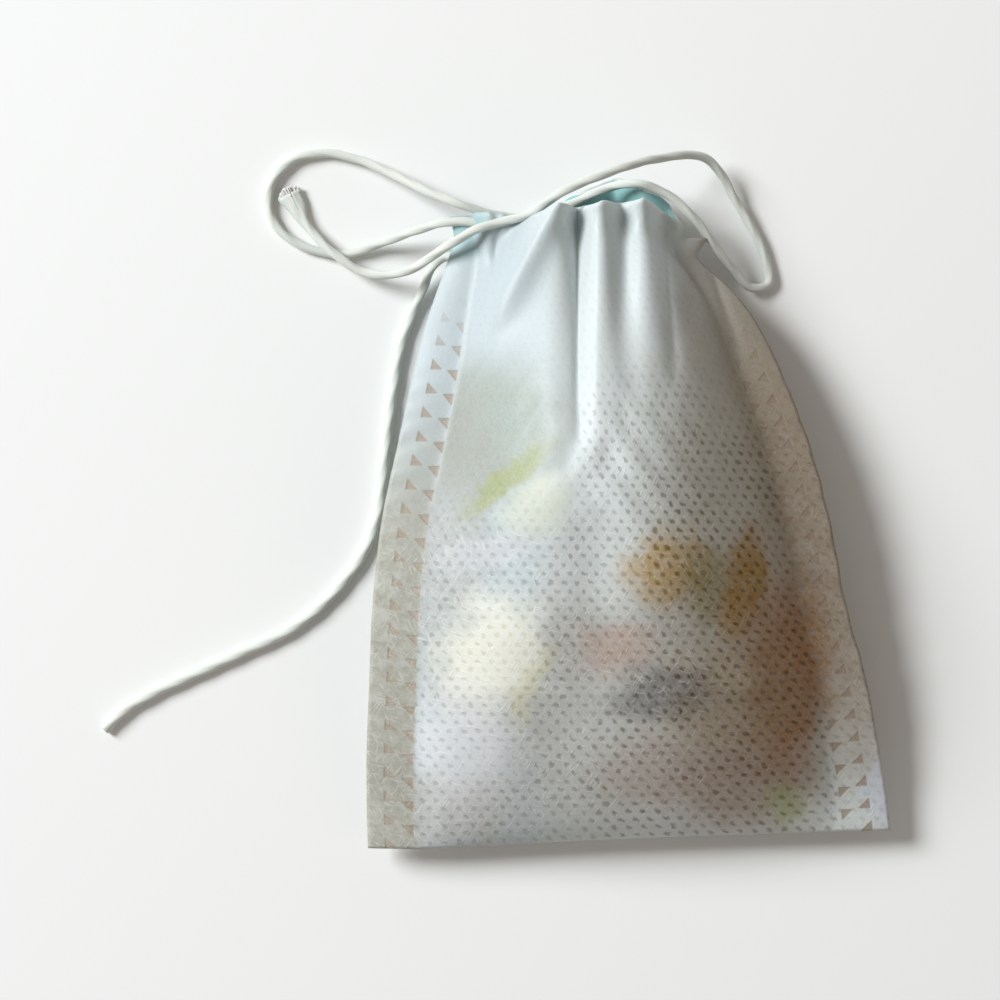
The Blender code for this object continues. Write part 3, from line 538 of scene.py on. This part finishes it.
class Shell:
    """Points with their place on the flat cut, and faces, for one closed mesh."""

    def __init__(self):
        self.points = []
        self.cuts = []
        self.faces = []
        self.count = 0

    def grid(self, points, cuts):
        number = self.count + np.arange(points.shape[0] * points.shape[1]).reshape(points.shape[:2])
        self.points.append(points.reshape(-1, 3))
        self.cuts.append(cuts.reshape(-1, 2))
        self.count += number.size
        return number

    def skin(self, number, turn=False):
        a, b, c, d = number[:-1, :-1], number[1:, :-1], number[1:, 1:], number[:-1, 1:]
        quads = np.stack([a, d, c, b] if turn else [a, b, c, d], axis=-1).reshape(-1, 4)
        self.faces += quads.tolist()

    def strip(self, one, other, turn=False):
        self.skin(np.stack([one, other]), turn)


def cloth_mesh(front, back):
    """One closed mesh: both outsides, both insides, the seams' edges, the fold and the rounded hem."""
    front, back = finer(front), finer(back)
    front[:, :, 2] += gathers_at(FINE_FOLDS, front[:, :, 0], front[:, :, 1])
    across, along = front.shape[:2]
    band = 2 * BAND_CELLS
    inner = slice(band + 2, across - band - 2)
    a = np.linspace(0.0, FLAT_WIDTH, across)[:, None] * np.ones((1, along))
    b = np.linspace(0.0, FLAT_HEIGHT, along)[None, :] * np.ones((across, 1))
    column = np.arange(across)
    in_band = (np.minimum(column, across - 1 - column) <= band)[:, None, None]
    half = np.where(in_band, BAND_HALF, CLOTH_HALF)
    up, down = grid_normals(front), -grid_normals(back)
    down = np.where(in_band, -up, down)
    inside = CLOTH_HALF + HEM_INSIDE * smooth_step(b, FLAT_HEIGHT - HEM_DEPTH, FLAT_HEIGHT - HEM_DEPTH * 0.55)
    shell = Shell()
    outer_front = shell.grid(front + up * half, np.stack([a, b], axis=2))
    outer_back = shell.grid(back + down * half, np.stack([a, -b], axis=2))
    inner_cut = np.stack([a + INSIDE_SHIFT, b], axis=2)[inner, INSIDE_START:]
    inner_front = shell.grid((front - up * inside[..., None])[inner, INSIDE_START:], inner_cut)
    inner_back = shell.grid((back - down * inside[..., None])[inner, INSIDE_START:], inner_cut * (1.0, -1.0))
    shell.skin(outer_front)
    shell.skin(outer_back, True)
    shell.skin(inner_front, True)
    shell.skin(inner_back)
    shell.strip(outer_back[0], outer_front[0])
    shell.strip(outer_front[-1], outer_back[-1])
    shell.strip(outer_back[:, 0], outer_front[:, 0], True)
    shell.strip(inner_front[0], inner_back[0])
    shell.strip(inner_back[-1], inner_front[-1])
    shell.strip(inner_front[:, 0], inner_back[:, 0], True)
    rims = []
    panels = ((front, outer_front, inner_front, 1), (back, outer_back, inner_back, -1))
    for grid, outer, inside_number, sign in panels:
        points = np.concatenate(shell.points)
        outside_row, inside_row = points[outer[inner, -1]], points[inside_number[:, -1]]
        ahead = grid[inner, -1] - grid[inner, -2]
        ahead /= np.linalg.norm(ahead, axis=1, keepdims=True)
        middle, reach = (outside_row + inside_row) / 2, (outside_row - inside_row) / 2
        depth = np.linalg.norm(reach, axis=1, keepdims=True)
        rows = [outer[inner, -1]]
        for turn in RIM_TURNS:
            angle = math.radians(turn)
            row = middle + reach * math.cos(angle) + ahead * depth * math.sin(angle)
            cut = np.stack([a[inner, -1], b[inner, -1] * sign], axis=1)
            rows.append(shell.grid(row[:, None], cut[:, None])[:, 0])
        rows.append(inside_number[:, -1])
        for low, high in zip(rows, rows[1:]):
            shell.strip(low, high, sign > 0)
        rims.append(rows)
    left, right = slice(0, band + 3), slice(across - band - 3, across)
    shell.strip(outer_front[left, -1], outer_back[left, -1], True)
    shell.strip(outer_front[right, -1], outer_back[right, -1], True)
    for end in (0, -1):
        loop = [int(row[end]) for row in rims[0]] + [int(row[end]) for row in reversed(rims[1])]
        shell.faces.append(loop if end == 0 else loop[::-1])
    return shell


def mesh_object(name, points, faces, cuts=None):
    data = bpy.data.meshes.new(name)
    data.from_pydata([tuple(point) for point in points], [], faces)
    if cuts is not None:
        layer = data.uv_layers.new(name="Flat")
        corner_points = np.empty(len(data.loops), np.int32)
        data.loops.foreach_get("vertex_index", corner_points)
        layer.data.foreach_set("uv", (cuts[corner_points]).astype(np.float32).ravel())
    data.shade_smooth()
    piece = bpy.data.objects.new(name, data)
    bpy.context.scene.collection.objects.link(piece)
    return piece


class Nodes:
    """Short names for the shader nodes that the materials are built from."""

    def __init__(self, name):
        self.material = bpy.data.materials.new(name)
        self.material.use_nodes = True
        self.tree = self.material.node_tree
        self.shader = self.tree.nodes["Principled BSDF"]
        self.output = self.tree.nodes["Material Output"]

    def link(self, source, target):
        if isinstance(source, (int, float)):
            target.default_value = source
        elif isinstance(source, tuple):
            target.default_value = (*source, 1.0) if len(target.default_value) == 4 else source
        else:
            self.tree.links.new(source, target)

    def node(self, kind, inputs=(), **settings):
        made = self.tree.nodes.new(kind)
        for key, value in settings.items():
            setattr(made, key, value)
        for key, value in dict(inputs).items():
            self.link(value, made.inputs[key])
        return made

    def math(self, operation, one, two=0.0, three=0.0):
        made = self.node("ShaderNodeMath", {0: one, 1: two, 2: three}, operation=operation)
        return made.outputs[0]

    def ramp(self, value, low, high, to_low=0.0, to_high=1.0):
        inputs = {0: value, 1: low, 2: high, 3: to_low, 4: to_high}
        made = self.node("ShaderNodeMapRange", inputs, interpolation_type="SMOOTHSTEP")
        return made.outputs[0]

    def vector(self, operation, inputs):
        return self.node("ShaderNodeVectorMath", inputs, operation=operation)

    def mix(self, share, one, two, blend="MIX"):
        made = self.node("ShaderNodeMix", data_type="RGBA", blend_type=blend)
        self.link(share, made.inputs[0])
        self.link(one, made.inputs[6])
        self.link(two, made.inputs[7])
        return made.outputs[2]

    def noise(self, place, scale, detail=3.0, roughness=0.6):
        made = self.node("ShaderNodeTexNoise", {"Scale": scale, "Detail": detail, "Roughness": roughness})
        self.link(place, made.inputs["Vector"])
        return made.outputs["Fac"]

    def bump(self, height, strength, distance):
        made = self.node("ShaderNodeBump", {"Height": height, "Strength": strength, "Distance": distance})
        return made.outputs["Normal"]


def field_place(pixel):
    return (
        (pixel[0] - PHOTO_MIDDLE[0]) / PIXELS_PER_MM * MM,
        (PHOTO_MIDDLE[1] - pixel[1]) / PIXELS_PER_MM * MM,
        0.0,
    )


def filling_and_painted_light(nodes, base, opened, fields):
    """The filling's colours and some painted light and shade over the cloth's, in soft fields; opened is where
    the cloth is thinner.
    """
    object_place = nodes.node("ShaderNodeTexCoord").outputs["Object"]
    ragged = nodes.node("ShaderNodeTexNoise", {"Scale": FIELD_GRAIN, "Detail": 2.0}).outputs["Color"]
    nodes.link(object_place, ragged.node.inputs["Vector"])
    shift = nodes.vector("SUBTRACT", {0: ragged, 1: (0.5, 0.5, 0.5)}).outputs[0]
    shift = nodes.vector("SCALE", {0: shift, 3: FIELD_WARP}).outputs[0]
    warped = nodes.vector("ADD", {0: object_place, 1: shift}).outputs[0]
    flat = nodes.vector("MULTIPLY", {0: warped, 1: (1.0, 1.0, 0.0)}).outputs[0]
    colour = base
    for name, middle, sides, turn, tint, strength in fields:
        mapping = nodes.node("ShaderNodeMapping", vector_type="TEXTURE", name=name)
        nodes.link(flat, mapping.inputs["Vector"])
        mapping.inputs["Location"].default_value = field_place(middle)
        mapping.inputs["Rotation"].default_value = (0.0, 0.0, math.radians(turn))
        size = tuple(side / PIXELS_PER_MM * MM for side in sides)
        mapping.inputs["Scale"].default_value = (*size, 1.0)
        away = nodes.vector("LENGTH", {0: mapping.outputs[0]}).outputs[1]
        near = nodes.ramp(away, *FIELD_EDGE)
        shown = nodes.math("MULTIPLY_ADD", opened, SHOWN_BY_DOTS * strength, SHOWN_BY_CLOTH * strength)
        colour = nodes.mix(nodes.math("MULTIPLY", near, shown), colour, tint)
    return colour


def filter_cloth_material():
    """Dot-bonded non-woven cloth with sealed bands, laid out on the flat cut, with painted light and shade in
    its colour.
    """
    nodes = Nodes("filter_cloth_look")
    uv = nodes.node("ShaderNodeUVMap", uv_map="Flat").outputs[0]
    parts = nodes.node("ShaderNodeSeparateXYZ", {0: uv})
    moved = nodes.math("DIVIDE", parts.outputs[0], UV_SCALE)
    b = nodes.math("DIVIDE", parts.outputs[1], UV_SCALE)
    inside = nodes.math("GREATER_THAN", moved, INSIDE_SHIFT - INSIDE_MARGIN)
    a = nodes.math("SUBTRACT", moved, nodes.math("MULTIPLY", inside, INSIDE_SHIFT))
    height = nodes.math("ABSOLUTE", b)
    edge = nodes.math("MINIMUM", a, nodes.math("SUBTRACT", FLAT_WIDTH, a))
    pouch = nodes.ramp(edge, SEAM_BAND - 0.2 * MM, SEAM_BAND + 0.4 * MM)
    object_place = nodes.node("ShaderNodeTexCoord").outputs["Object"]
    wobble = nodes.noise(object_place, WOBBLE_GRAIN, 1.0)
    wobble = nodes.math("MULTIPLY", nodes.math("SUBTRACT", wobble, 0.5), BOND_WOBBLE)

    column = nodes.math("DIVIDE", nodes.math("ADD", a, wobble), BOND_ACROSS)
    row = nodes.math("DIVIDE", nodes.math("ADD", b, wobble), BOND_ALONG)
    shifted = nodes.math("MULTIPLY", nodes.math("FLOORED_MODULO", nodes.math("FLOOR", row), 2.0), 0.5)
    across = nodes.math("SUBTRACT", nodes.math("FRACT", nodes.math("ADD", column, shifted)), 0.5)
    along = nodes.math("SUBTRACT", nodes.math("FRACT", row), 0.5)
    across = nodes.math("MULTIPLY", across, BOND_ACROSS)
    along = nodes.math("MULTIPLY", along, BOND_ALONG)
    across = nodes.math("MULTIPLY_ADD", along, BOND_SLANT, across)
    squares = nodes.math("ADD", nodes.math("POWER", across, 2.0), nodes.math("POWER", along, 2.0))
    away = nodes.math("SQRT", squares)
    uneven = nodes.noise(object_place, UNEVEN_GRAIN, 2.0)
    away = nodes.math("MULTIPLY", away, nodes.ramp(uneven, 0.3, 0.7, 0.75, 1.3))
    dot = nodes.ramp(away, BOND_RADIUS * 1.7, BOND_RADIUS * 0.4)
    patchy = nodes.noise(object_place, PATCH_GRAIN, 2.0)
    object_x = nodes.node("ShaderNodeSeparateXYZ", {0: object_place}).outputs[0]
    film = nodes.ramp(object_x, *FILM_EDGE)
    faded = nodes.math("MULTIPLY_ADD", film, FILM_DROP, height)
    neck = nodes.ramp(faded, *DOTS_FADE, 1.0, DOTS_LEFT)
    strength = nodes.math("MULTIPLY", neck, nodes.ramp(patchy, 0.3, 0.6, 0.45, 1.0))
    strength = nodes.math("MULTIPLY", strength, nodes.math("MULTIPLY_ADD", pouch, 0.65, 0.35))
    dot = nodes.math("MULTIPLY", dot, strength)

    seals = 0.0
    for number, middle in enumerate(SEAL_COLUMNS):
        x = nodes.math("DIVIDE", nodes.math("SUBTRACT", edge, middle - SEAL_WIDTH / 2), SEAL_WIDTH)
        y = nodes.math("ADD", nodes.math("DIVIDE", height, SEAL_PITCH), 0.5 * number)
        y = nodes.math("DIVIDE", nodes.math("FRACT", y), SEAL_TALL / SEAL_PITCH)
        total = nodes.math("ADD", x, y)
        slant = nodes.ramp(total, 0.9, 1.1) if number else nodes.ramp(total, 1.1, 0.9)
        low, high = (-SEAL_SOFTNESS, SEAL_SOFTNESS), (1.0 + SEAL_SOFTNESS, 1.0 - SEAL_SOFTNESS)
        box = nodes.math("MULTIPLY", nodes.ramp(x, *low), nodes.ramp(x, *high))
        tall = nodes.math("MULTIPLY", nodes.ramp(y, *low), nodes.ramp(y, *high))
        mark = nodes.math("MULTIPLY", slant, nodes.math("MULTIPLY", box, tall))
        seals = nodes.math("MAXIMUM", mark, seals)
    seal_fade = nodes.ramp(height, *NECK_HEIGHT, 1.0, 0.0)
    seal = nodes.math("MULTIPLY", seals, seal_fade)

    fibres = nodes.noise(object_place, FIBRE_GRAIN, 4.0, 0.7)
    cut_place = nodes.node("ShaderNodeCombineXYZ", {0: a, 1: b}).outputs[0]
    threads = 0.0
    for turn in FIBRE_TURNS:
        stretch = {"Rotation": (0.0, 0.0, math.radians(turn)), "Scale": (1.0, FIBRE_STRETCH, 1.0)}
        mapping = nodes.node("ShaderNodeMapping", stretch, vector_type="TEXTURE")
        nodes.link(cut_place, mapping.inputs["Vector"])
        streaks = nodes.noise(mapping.outputs[0], STREAK_GRAIN, 2.0, 0.5)
        threads = nodes.math("MAXIMUM", nodes.ramp(streaks, 0.56, 0.72), threads)
    threads = nodes.math("MULTIPLY", threads, nodes.ramp(neck, 0.1, 0.9, 0.15, 1.0))
    broad = nodes.noise(object_place, BROAD_GRAIN, 3.0)
    base = nodes.mix(broad, CLOTH_DARK, CLOTH_LIGHT)
    # Painted shade: the cloth darker and cooler towards the left
    base = nodes.mix(nodes.ramp(object_x, -7.0 * MM, -15.0 * MM, 0.0, 0.9), base, CLOTH_LEFT_PAINTED_SHADE)
    colour = filling_and_painted_light(nodes, base, dot, FIELDS)
    # Plain cloth takes over in the neck, except on the right, where the fields run up into it so the painted
    # shade there shows
    keep_cloth = nodes.ramp(height, *NECK_HEIGHT)
    keep_cloth = nodes.math("MULTIPLY", keep_cloth, nodes.ramp(object_x, 8.0 * MM, 3.0 * MM))
    bands = nodes.math("SUBTRACT", 1.0, pouch)
    left_band = nodes.math("MULTIPLY", bands, nodes.ramp(object_x, 6.0 * MM, 0.0))
    colour = nodes.mix(keep_cloth, colour, base)
    # Painted shade on the left seam band, fading out up towards the neck
    band_shade_colour = nodes.mix(nodes.ramp(height, 40.0 * MM, 70.0 * MM), BAND_PAINTED_SHADE, base)
    colour = nodes.mix(left_band, colour, band_shade_colour)
    # Bond dots are the cloth's pattern; their fading towards the lit left is painted light
    dot_strength = nodes.ramp(object_x, -16.0 * MM, 6.0 * MM, *DOT_LEFT_RIGHT)
    colour = nodes.mix(nodes.math("MULTIPLY", dot, dot_strength), colour, DOT_TINT, "MULTIPLY")
    colour = nodes.mix(nodes.math("MULTIPLY", seal, SEAL_SHADE), colour, SEAL_TINT)
    colour = nodes.mix(nodes.ramp(fibres, 0.35, 0.75, 0.0, 0.12), colour, FIBRE_TINT)
    cloudy = nodes.ramp(nodes.noise(object_place, CLOUD_GRAIN, 3.0), 0.42, 0.68)
    cloudy = nodes.math("MULTIPLY", cloudy, neck)
    pale = nodes.math("MAXIMUM", threads, nodes.math("MULTIPLY", cloudy, 0.55))
    # Threads and clouds are the cloth's own; their growing paleness towards the lit left is painted light
    pale = nodes.math("MULTIPLY", pale, nodes.ramp(object_x, 2.0 * MM, 20.0 * MM, *PALE_LEFT_RIGHT))
    colour = nodes.mix(pale, colour, THREAD_TINT)
    # Painted shade: the teal-tinted shadow at the mouth's left corner
    at_mouth = nodes.ramp(height, 74.0 * MM, 80.0 * MM)
    corner = filling_and_painted_light(nodes, colour, at_mouth, (MOUTH_CORNER_PAINTED_SHADE,))
    colour = nodes.mix(at_mouth, colour, corner)
    # Painted shade: the insides near the mouth turn teal, as shadow
    teal = nodes.math("MULTIPLY", inside, nodes.ramp(height, 70.0 * MM, 80.0 * MM))
    colour = nodes.mix(nodes.math("MULTIPLY", teal, INSIDE_SHADE_SHARE), colour, INSIDE_TEAL_PAINTED_SHADE)
    nodes.link(colour, nodes.shader.inputs["Base Color"])
    nodes.link(nodes.ramp(neck, 0.1, 0.9, 0.38, 0.55), nodes.shader.inputs["Roughness"])
    nodes.shader.inputs["Specular IOR Level"].default_value = 0.3
    nodes.shader.inputs["Sheen Weight"].default_value = 0.06

    relief = nodes.math("MULTIPLY_ADD", fibres, 0.4, nodes.math("MULTIPLY", threads, 0.35))
    relief = nodes.math("SUBTRACT", relief, nodes.math("MULTIPLY", dot, 0.8))
    relief = nodes.math("SUBTRACT", relief, nodes.math("MULTIPLY", seal, 0.9))
    normal = nodes.bump(relief, 0.55, 0.12 * MM)
    nodes.link(normal, nodes.shader.inputs["Normal"])
    translucent = nodes.node("ShaderNodeBsdfTranslucent")
    nodes.link(colour, translucent.inputs["Color"])
    nodes.link(normal, translucent.inputs["Normal"])
    shaders = {0: TRANSLUCENT, 1: nodes.shader.outputs[0], 2: translucent.outputs[0]}
    lit = nodes.node("ShaderNodeMixShader", shaders)
    clear = nodes.node("ShaderNodeBsdfTransparent")
    dots_opened = nodes.math("MULTIPLY", dot, DOT_OPENING)
    seals_opened = nodes.math("MULTIPLY", seal, SEAL_OPENING)
    opening = nodes.math("ADD", dots_opened, seals_opened)
    opening = nodes.math("ADD", opening, CLOTH_OPENING)
    final = nodes.node("ShaderNodeMixShader", {0: opening, 1: lit.outputs[0], 2: clear.outputs[0]})
    nodes.link(final.outputs[0], nodes.output.inputs["Surface"])
    return nodes.material


def spotted_material(name, light, dark):
    """A dried plant's surface: two tones in patches, with a wrinkled relief."""
    nodes = Nodes(name)
    place = nodes.node("ShaderNodeTexCoord").outputs["Object"]
    patches = nodes.noise(place, FILLING_SCALE, 4.0, 0.65)
    fine = nodes.noise(place, FILLING_SCALE * 6.0, 3.0)
    colour = nodes.mix(nodes.ramp(patches, 0.35, 0.65), dark, light)
    darker = tuple(0.5 * part for part in dark)
    colour = nodes.mix(nodes.ramp(fine, 0.5, 0.8, 0.0, 0.4), colour, darker)
    nodes.link(colour, nodes.shader.inputs["Base Color"])
    nodes.shader.inputs["Roughness"].default_value = FILLING_ROUGHNESS
    nodes.link(nodes.bump(patches, 0.7, FILLING_RELIEF), nodes.shader.inputs["Normal"])
    return nodes.material


def dress_filling():
    for name, light, dark in FILLING:
        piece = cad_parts[name]
        piece.data.materials.clear()
        piece.data.materials.append(spotted_material(name + "_look", light, dark))


def make_bag():
    front, back = relaxed(designed_surface(True), designed_surface(False))
    front = softened(front, SMOOTHINGS)
    back = softened(back, SMOOTHINGS)
    inner = slice(BAND_CELLS + 1, CELLS_ACROSS - BAND_CELLS)
    whole_back = front.copy()
    whole_back[inner, 1:] = back[inner, 1:]
    shell = cloth_mesh(front, whole_back)
    cuts = np.concatenate(shell.cuts) * UV_SCALE
    bag = mesh_object("filter_bag_cloth", np.concatenate(shell.points), shell.faces, cuts)
    bag.data.materials.append(filter_cloth_material())
    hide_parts("filter_bag")
    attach(bag, "root")


def smooth_route():
    """The drawstring's middle line, at even short steps."""
    route = np.array(CORD_ROUTE) * MM
    steps = np.linalg.norm(np.diff(route, axis=0), axis=1)
    at = np.concatenate(([0.0], np.cumsum(steps)))
    dense = np.linspace(0.0, at[-1], ROUTE_SAMPLES)
    curve = np.stack([through(at, route[:, axis], dense) for axis in range(3)], axis=1)
    curve[:, 2] = np.maximum(curve[:, 2], CORD_DIAMETER / 2)
    run = np.concatenate(([0.0], np.cumsum(np.linalg.norm(np.diff(curve, axis=0), axis=1))))
    count = int(run[-1] / CORD_STEP)
    even = np.linspace(0.0, run[-1], count)
    return np.stack([np.interp(even, run, curve[:, axis]) for axis in range(3)], axis=1), run[-1]


def swept(points, radius_at, sides):
    """A closed tube along points; radius_at(run, angle) gives its section."""
    tangent = np.gradient(points, axis=0)
    tangent /= np.linalg.norm(tangent, axis=1, keepdims=True)
    side = np.cross(tangent[0], (0.0, 0.0, 1.0))
    side /= np.linalg.norm(side)
    run = np.concatenate(([0.0], np.cumsum(np.linalg.norm(np.diff(points, axis=0), axis=1))))
    rings = []
    for number, (point, ahead) in enumerate(zip(points, tangent)):
        side = side - ahead * np.dot(side, ahead)
        side /= np.linalg.norm(side)
        up = np.cross(ahead, side)
        angle = np.linspace(0.0, 2 * math.pi, sides, endpoint=False)
        radius = radius_at(run[number], angle)[:, None]
        rings.append(point + radius * (np.cos(angle)[:, None] * side + np.sin(angle)[:, None] * up))
    ring = np.arange(sides)
    faces = []
    for number in range(len(points) - 1):
        low = number * sides
        nxt = (ring + 1) % sides
        quads = np.stack([low + ring, low + nxt, low + sides + nxt, low + sides + ring], axis=1)
        faces += quads.tolist()
    faces.append(ring[::-1].tolist())
    faces.append(((len(points) - 1) * sides + ring).tolist())
    return np.concatenate(rings), faces


def cord_material(name, light, dark):
    nodes = Nodes(name)
    place = nodes.node("ShaderNodeTexCoord").outputs["Object"]
    fuzz = nodes.noise(place, 5200.0, 3.0, 0.7)
    tone = nodes.noise(place, 240.0, 2.0)
    colour = nodes.mix(tone, light, dark)
    colour = nodes.mix(nodes.ramp(fuzz, 0.4, 0.7, 0.0, 0.3), colour, (0.55, 0.58, 0.56))
    nodes.link(colour, nodes.shader.inputs["Base Color"])
    nodes.shader.inputs["Roughness"].default_value = 0.85
    nodes.shader.inputs["Sheen Weight"].default_value = 0.3
    nodes.link(nodes.bump(fuzz, 0.5, 0.06 * MM), nodes.shader.inputs["Normal"])
    return nodes.material


def make_cord():
    points, length = smooth_route()

    def section(run, angle):
        lobes = np.cos(STRANDS * (angle - 2 * math.pi * run / (TWIST_LENGTH * STRANDS)))
        flare = 1.0 - float(smooth_step(run, 0.0, FLARE_LENGTH))
        wide, flat = 1.0 + FLARE_WIDENS * flare, 1.0 - FLARE_FLATTENS * flare
        oval = wide * flat / np.hypot(flat * np.cos(angle), wide * np.sin(angle))
        creased = 1.0 + CREASE_DEPTH * flare * np.cos(FLARE_CREASES * angle)
        return CORD_DIAMETER / 2 * (TWIST_BODY + TWIST_DEPTH * lobes) * oval * creased

    shape, faces = swept(points, section, CORD_SIDES)
    cord = mesh_object("drawstring_cord", shape, faces)
    cord.data.materials.append(cord_material("cotton_cord_look", (0.62, 0.67, 0.64), (0.72, 0.71, 0.64)))
    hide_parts("drawstring")
    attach(cord, "root")
    frayed = frayed_end(points[0], points[0] - points[AIM_STEPS])
    frayed.data.materials.append(cord_material("frayed_end_look", (0.66, 0.66, 0.63), (0.74, 0.71, 0.66)))
    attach(frayed, "root")


def frayed_end(start, ahead):
    """The short end's loose fibres, pressed flat into a small fan."""
    ahead = np.array(ahead) / np.linalg.norm(ahead)
    ahead[2] = 0.0
    random = np.random.default_rng(7)
    points, faces, count = [], [], 0
    for number in range(FRAY_STRANDS):
        share = number / (FRAY_STRANDS - 1) * 2.0 - 1.0
        turn = math.radians(FRAY_SPREAD * share + random.uniform(-3.0, 3.0))
        aim = np.array([
            ahead[0] * math.cos(turn) - ahead[1] * math.sin(turn),
            ahead[0] * math.sin(turn) + ahead[1] * math.cos(turn),
            0.0,
        ])
        long = FRAY_LENGTH * (1.15 - 0.7 * share * share) * random.uniform(0.8, 1.05)
        aside = np.array([-ahead[1], ahead[0], 0.0])
        across = aside * share * CORD_DIAMETER / 2 * (1.0 + FLARE_WIDENS) * 0.92
        across[2] = random.uniform(-0.5, 0.5) * MM * (1.0 - abs(share))
        lift = np.array([0.0, 0.0, random.uniform(-0.2, 0.2) * MM])
        steps = np.linspace(0.0, 1.0, FRAY_POINTS)[:, None]
        line = start - ahead * FRAY_OVERLAP + across
        line = line + ahead * long * 0.5 * steps + aim * long * 0.8 * steps**1.3 + lift * steps
        line[:, 2] = np.maximum(line[:, 2], FRAY_RADIUS * 1.1)
        shape, strand_faces = swept(line, lambda run, angle: np.full(len(angle), FRAY_RADIUS), FRAY_SIDES)
        points.append(shape)
        faces += [[corner + count for corner in face] for face in strand_faces]
        count += len(shape)
    return mesh_object("drawstring_frayed_end", np.concatenate(points), faces)


def stage_floor():
    data = bpy.data.meshes.new("table_top")
    corners = [(x * FLOOR_REACH, y * FLOOR_REACH, 0.0) for x, y in ((-1, -1), (1, -1), (1, 1), (-1, 1))]
    data.from_pydata(corners, [], [(0, 1, 2, 3)])
    floor = bpy.data.objects.new("table_top", data)
    bpy.context.scene.collection.objects.link(floor)
    nodes = Nodes("table_top_look")
    nodes.shader.inputs["Base Color"].default_value = FLOOR_COLOUR
    nodes.shader.inputs["Roughness"].default_value = 0.9
    floor.data.materials.append(nodes.material)


def area_light(name, place, size, power, colour):
    """A soft round lamp that looks at the frame's origin."""
    data = bpy.data.lights.new(name, "AREA")
    data.shape = "DISK"
    data.size = size
    data.energy = power
    data.color = colour
    lamp = bpy.data.objects.new(name, data)
    lamp.location = place
    lamp.rotation_euler = (-Vector(place)).to_track_quat("-Z", "Y").to_euler()
    bpy.context.scene.collection.objects.link(lamp)


def lights():
    area_light("window", place=(-1.04, 0.56, 0.80), size=0.65, power=26.0, colour=(0.94, 0.98, 1.0))
    area_light("room", place=(1.0, -0.5, 0.8), size=1.0, power=1.6, colour=(1.0, 0.86, 0.74))
    world = bpy.data.worlds.new("room_light")
    bpy.context.scene.world = world
    world.use_nodes = True
    background = world.node_tree.nodes["Background"]
    background.inputs[0].default_value = WORLD_COLOUR
    background.inputs[1].default_value = WORLD_STRENGTH


def camera():
    data = bpy.data.cameras.new("photo_camera")
    eye = bpy.data.objects.new("photo_camera", data)
    middle = PHOTO_SIZE / 2
    x, y, _ = field_place((middle, middle))
    eye.location = (x, y, CAMERA_HEIGHT)
    data.sensor_width = SENSOR
    data.lens = SENSOR * (CAMERA_HEIGHT - VIEWED_HEIGHT) / (PHOTO_SIZE / PIXELS_PER_MM * MM)
    data.clip_start = 0.01
    bpy.context.scene.collection.objects.link(eye)
    bpy.context.scene.camera = eye


camera()
make_cord()
make_bag()
dress_filling()
stage_floor()
lights()
bpy.context.scene.view_settings.view_transform = "Standard"
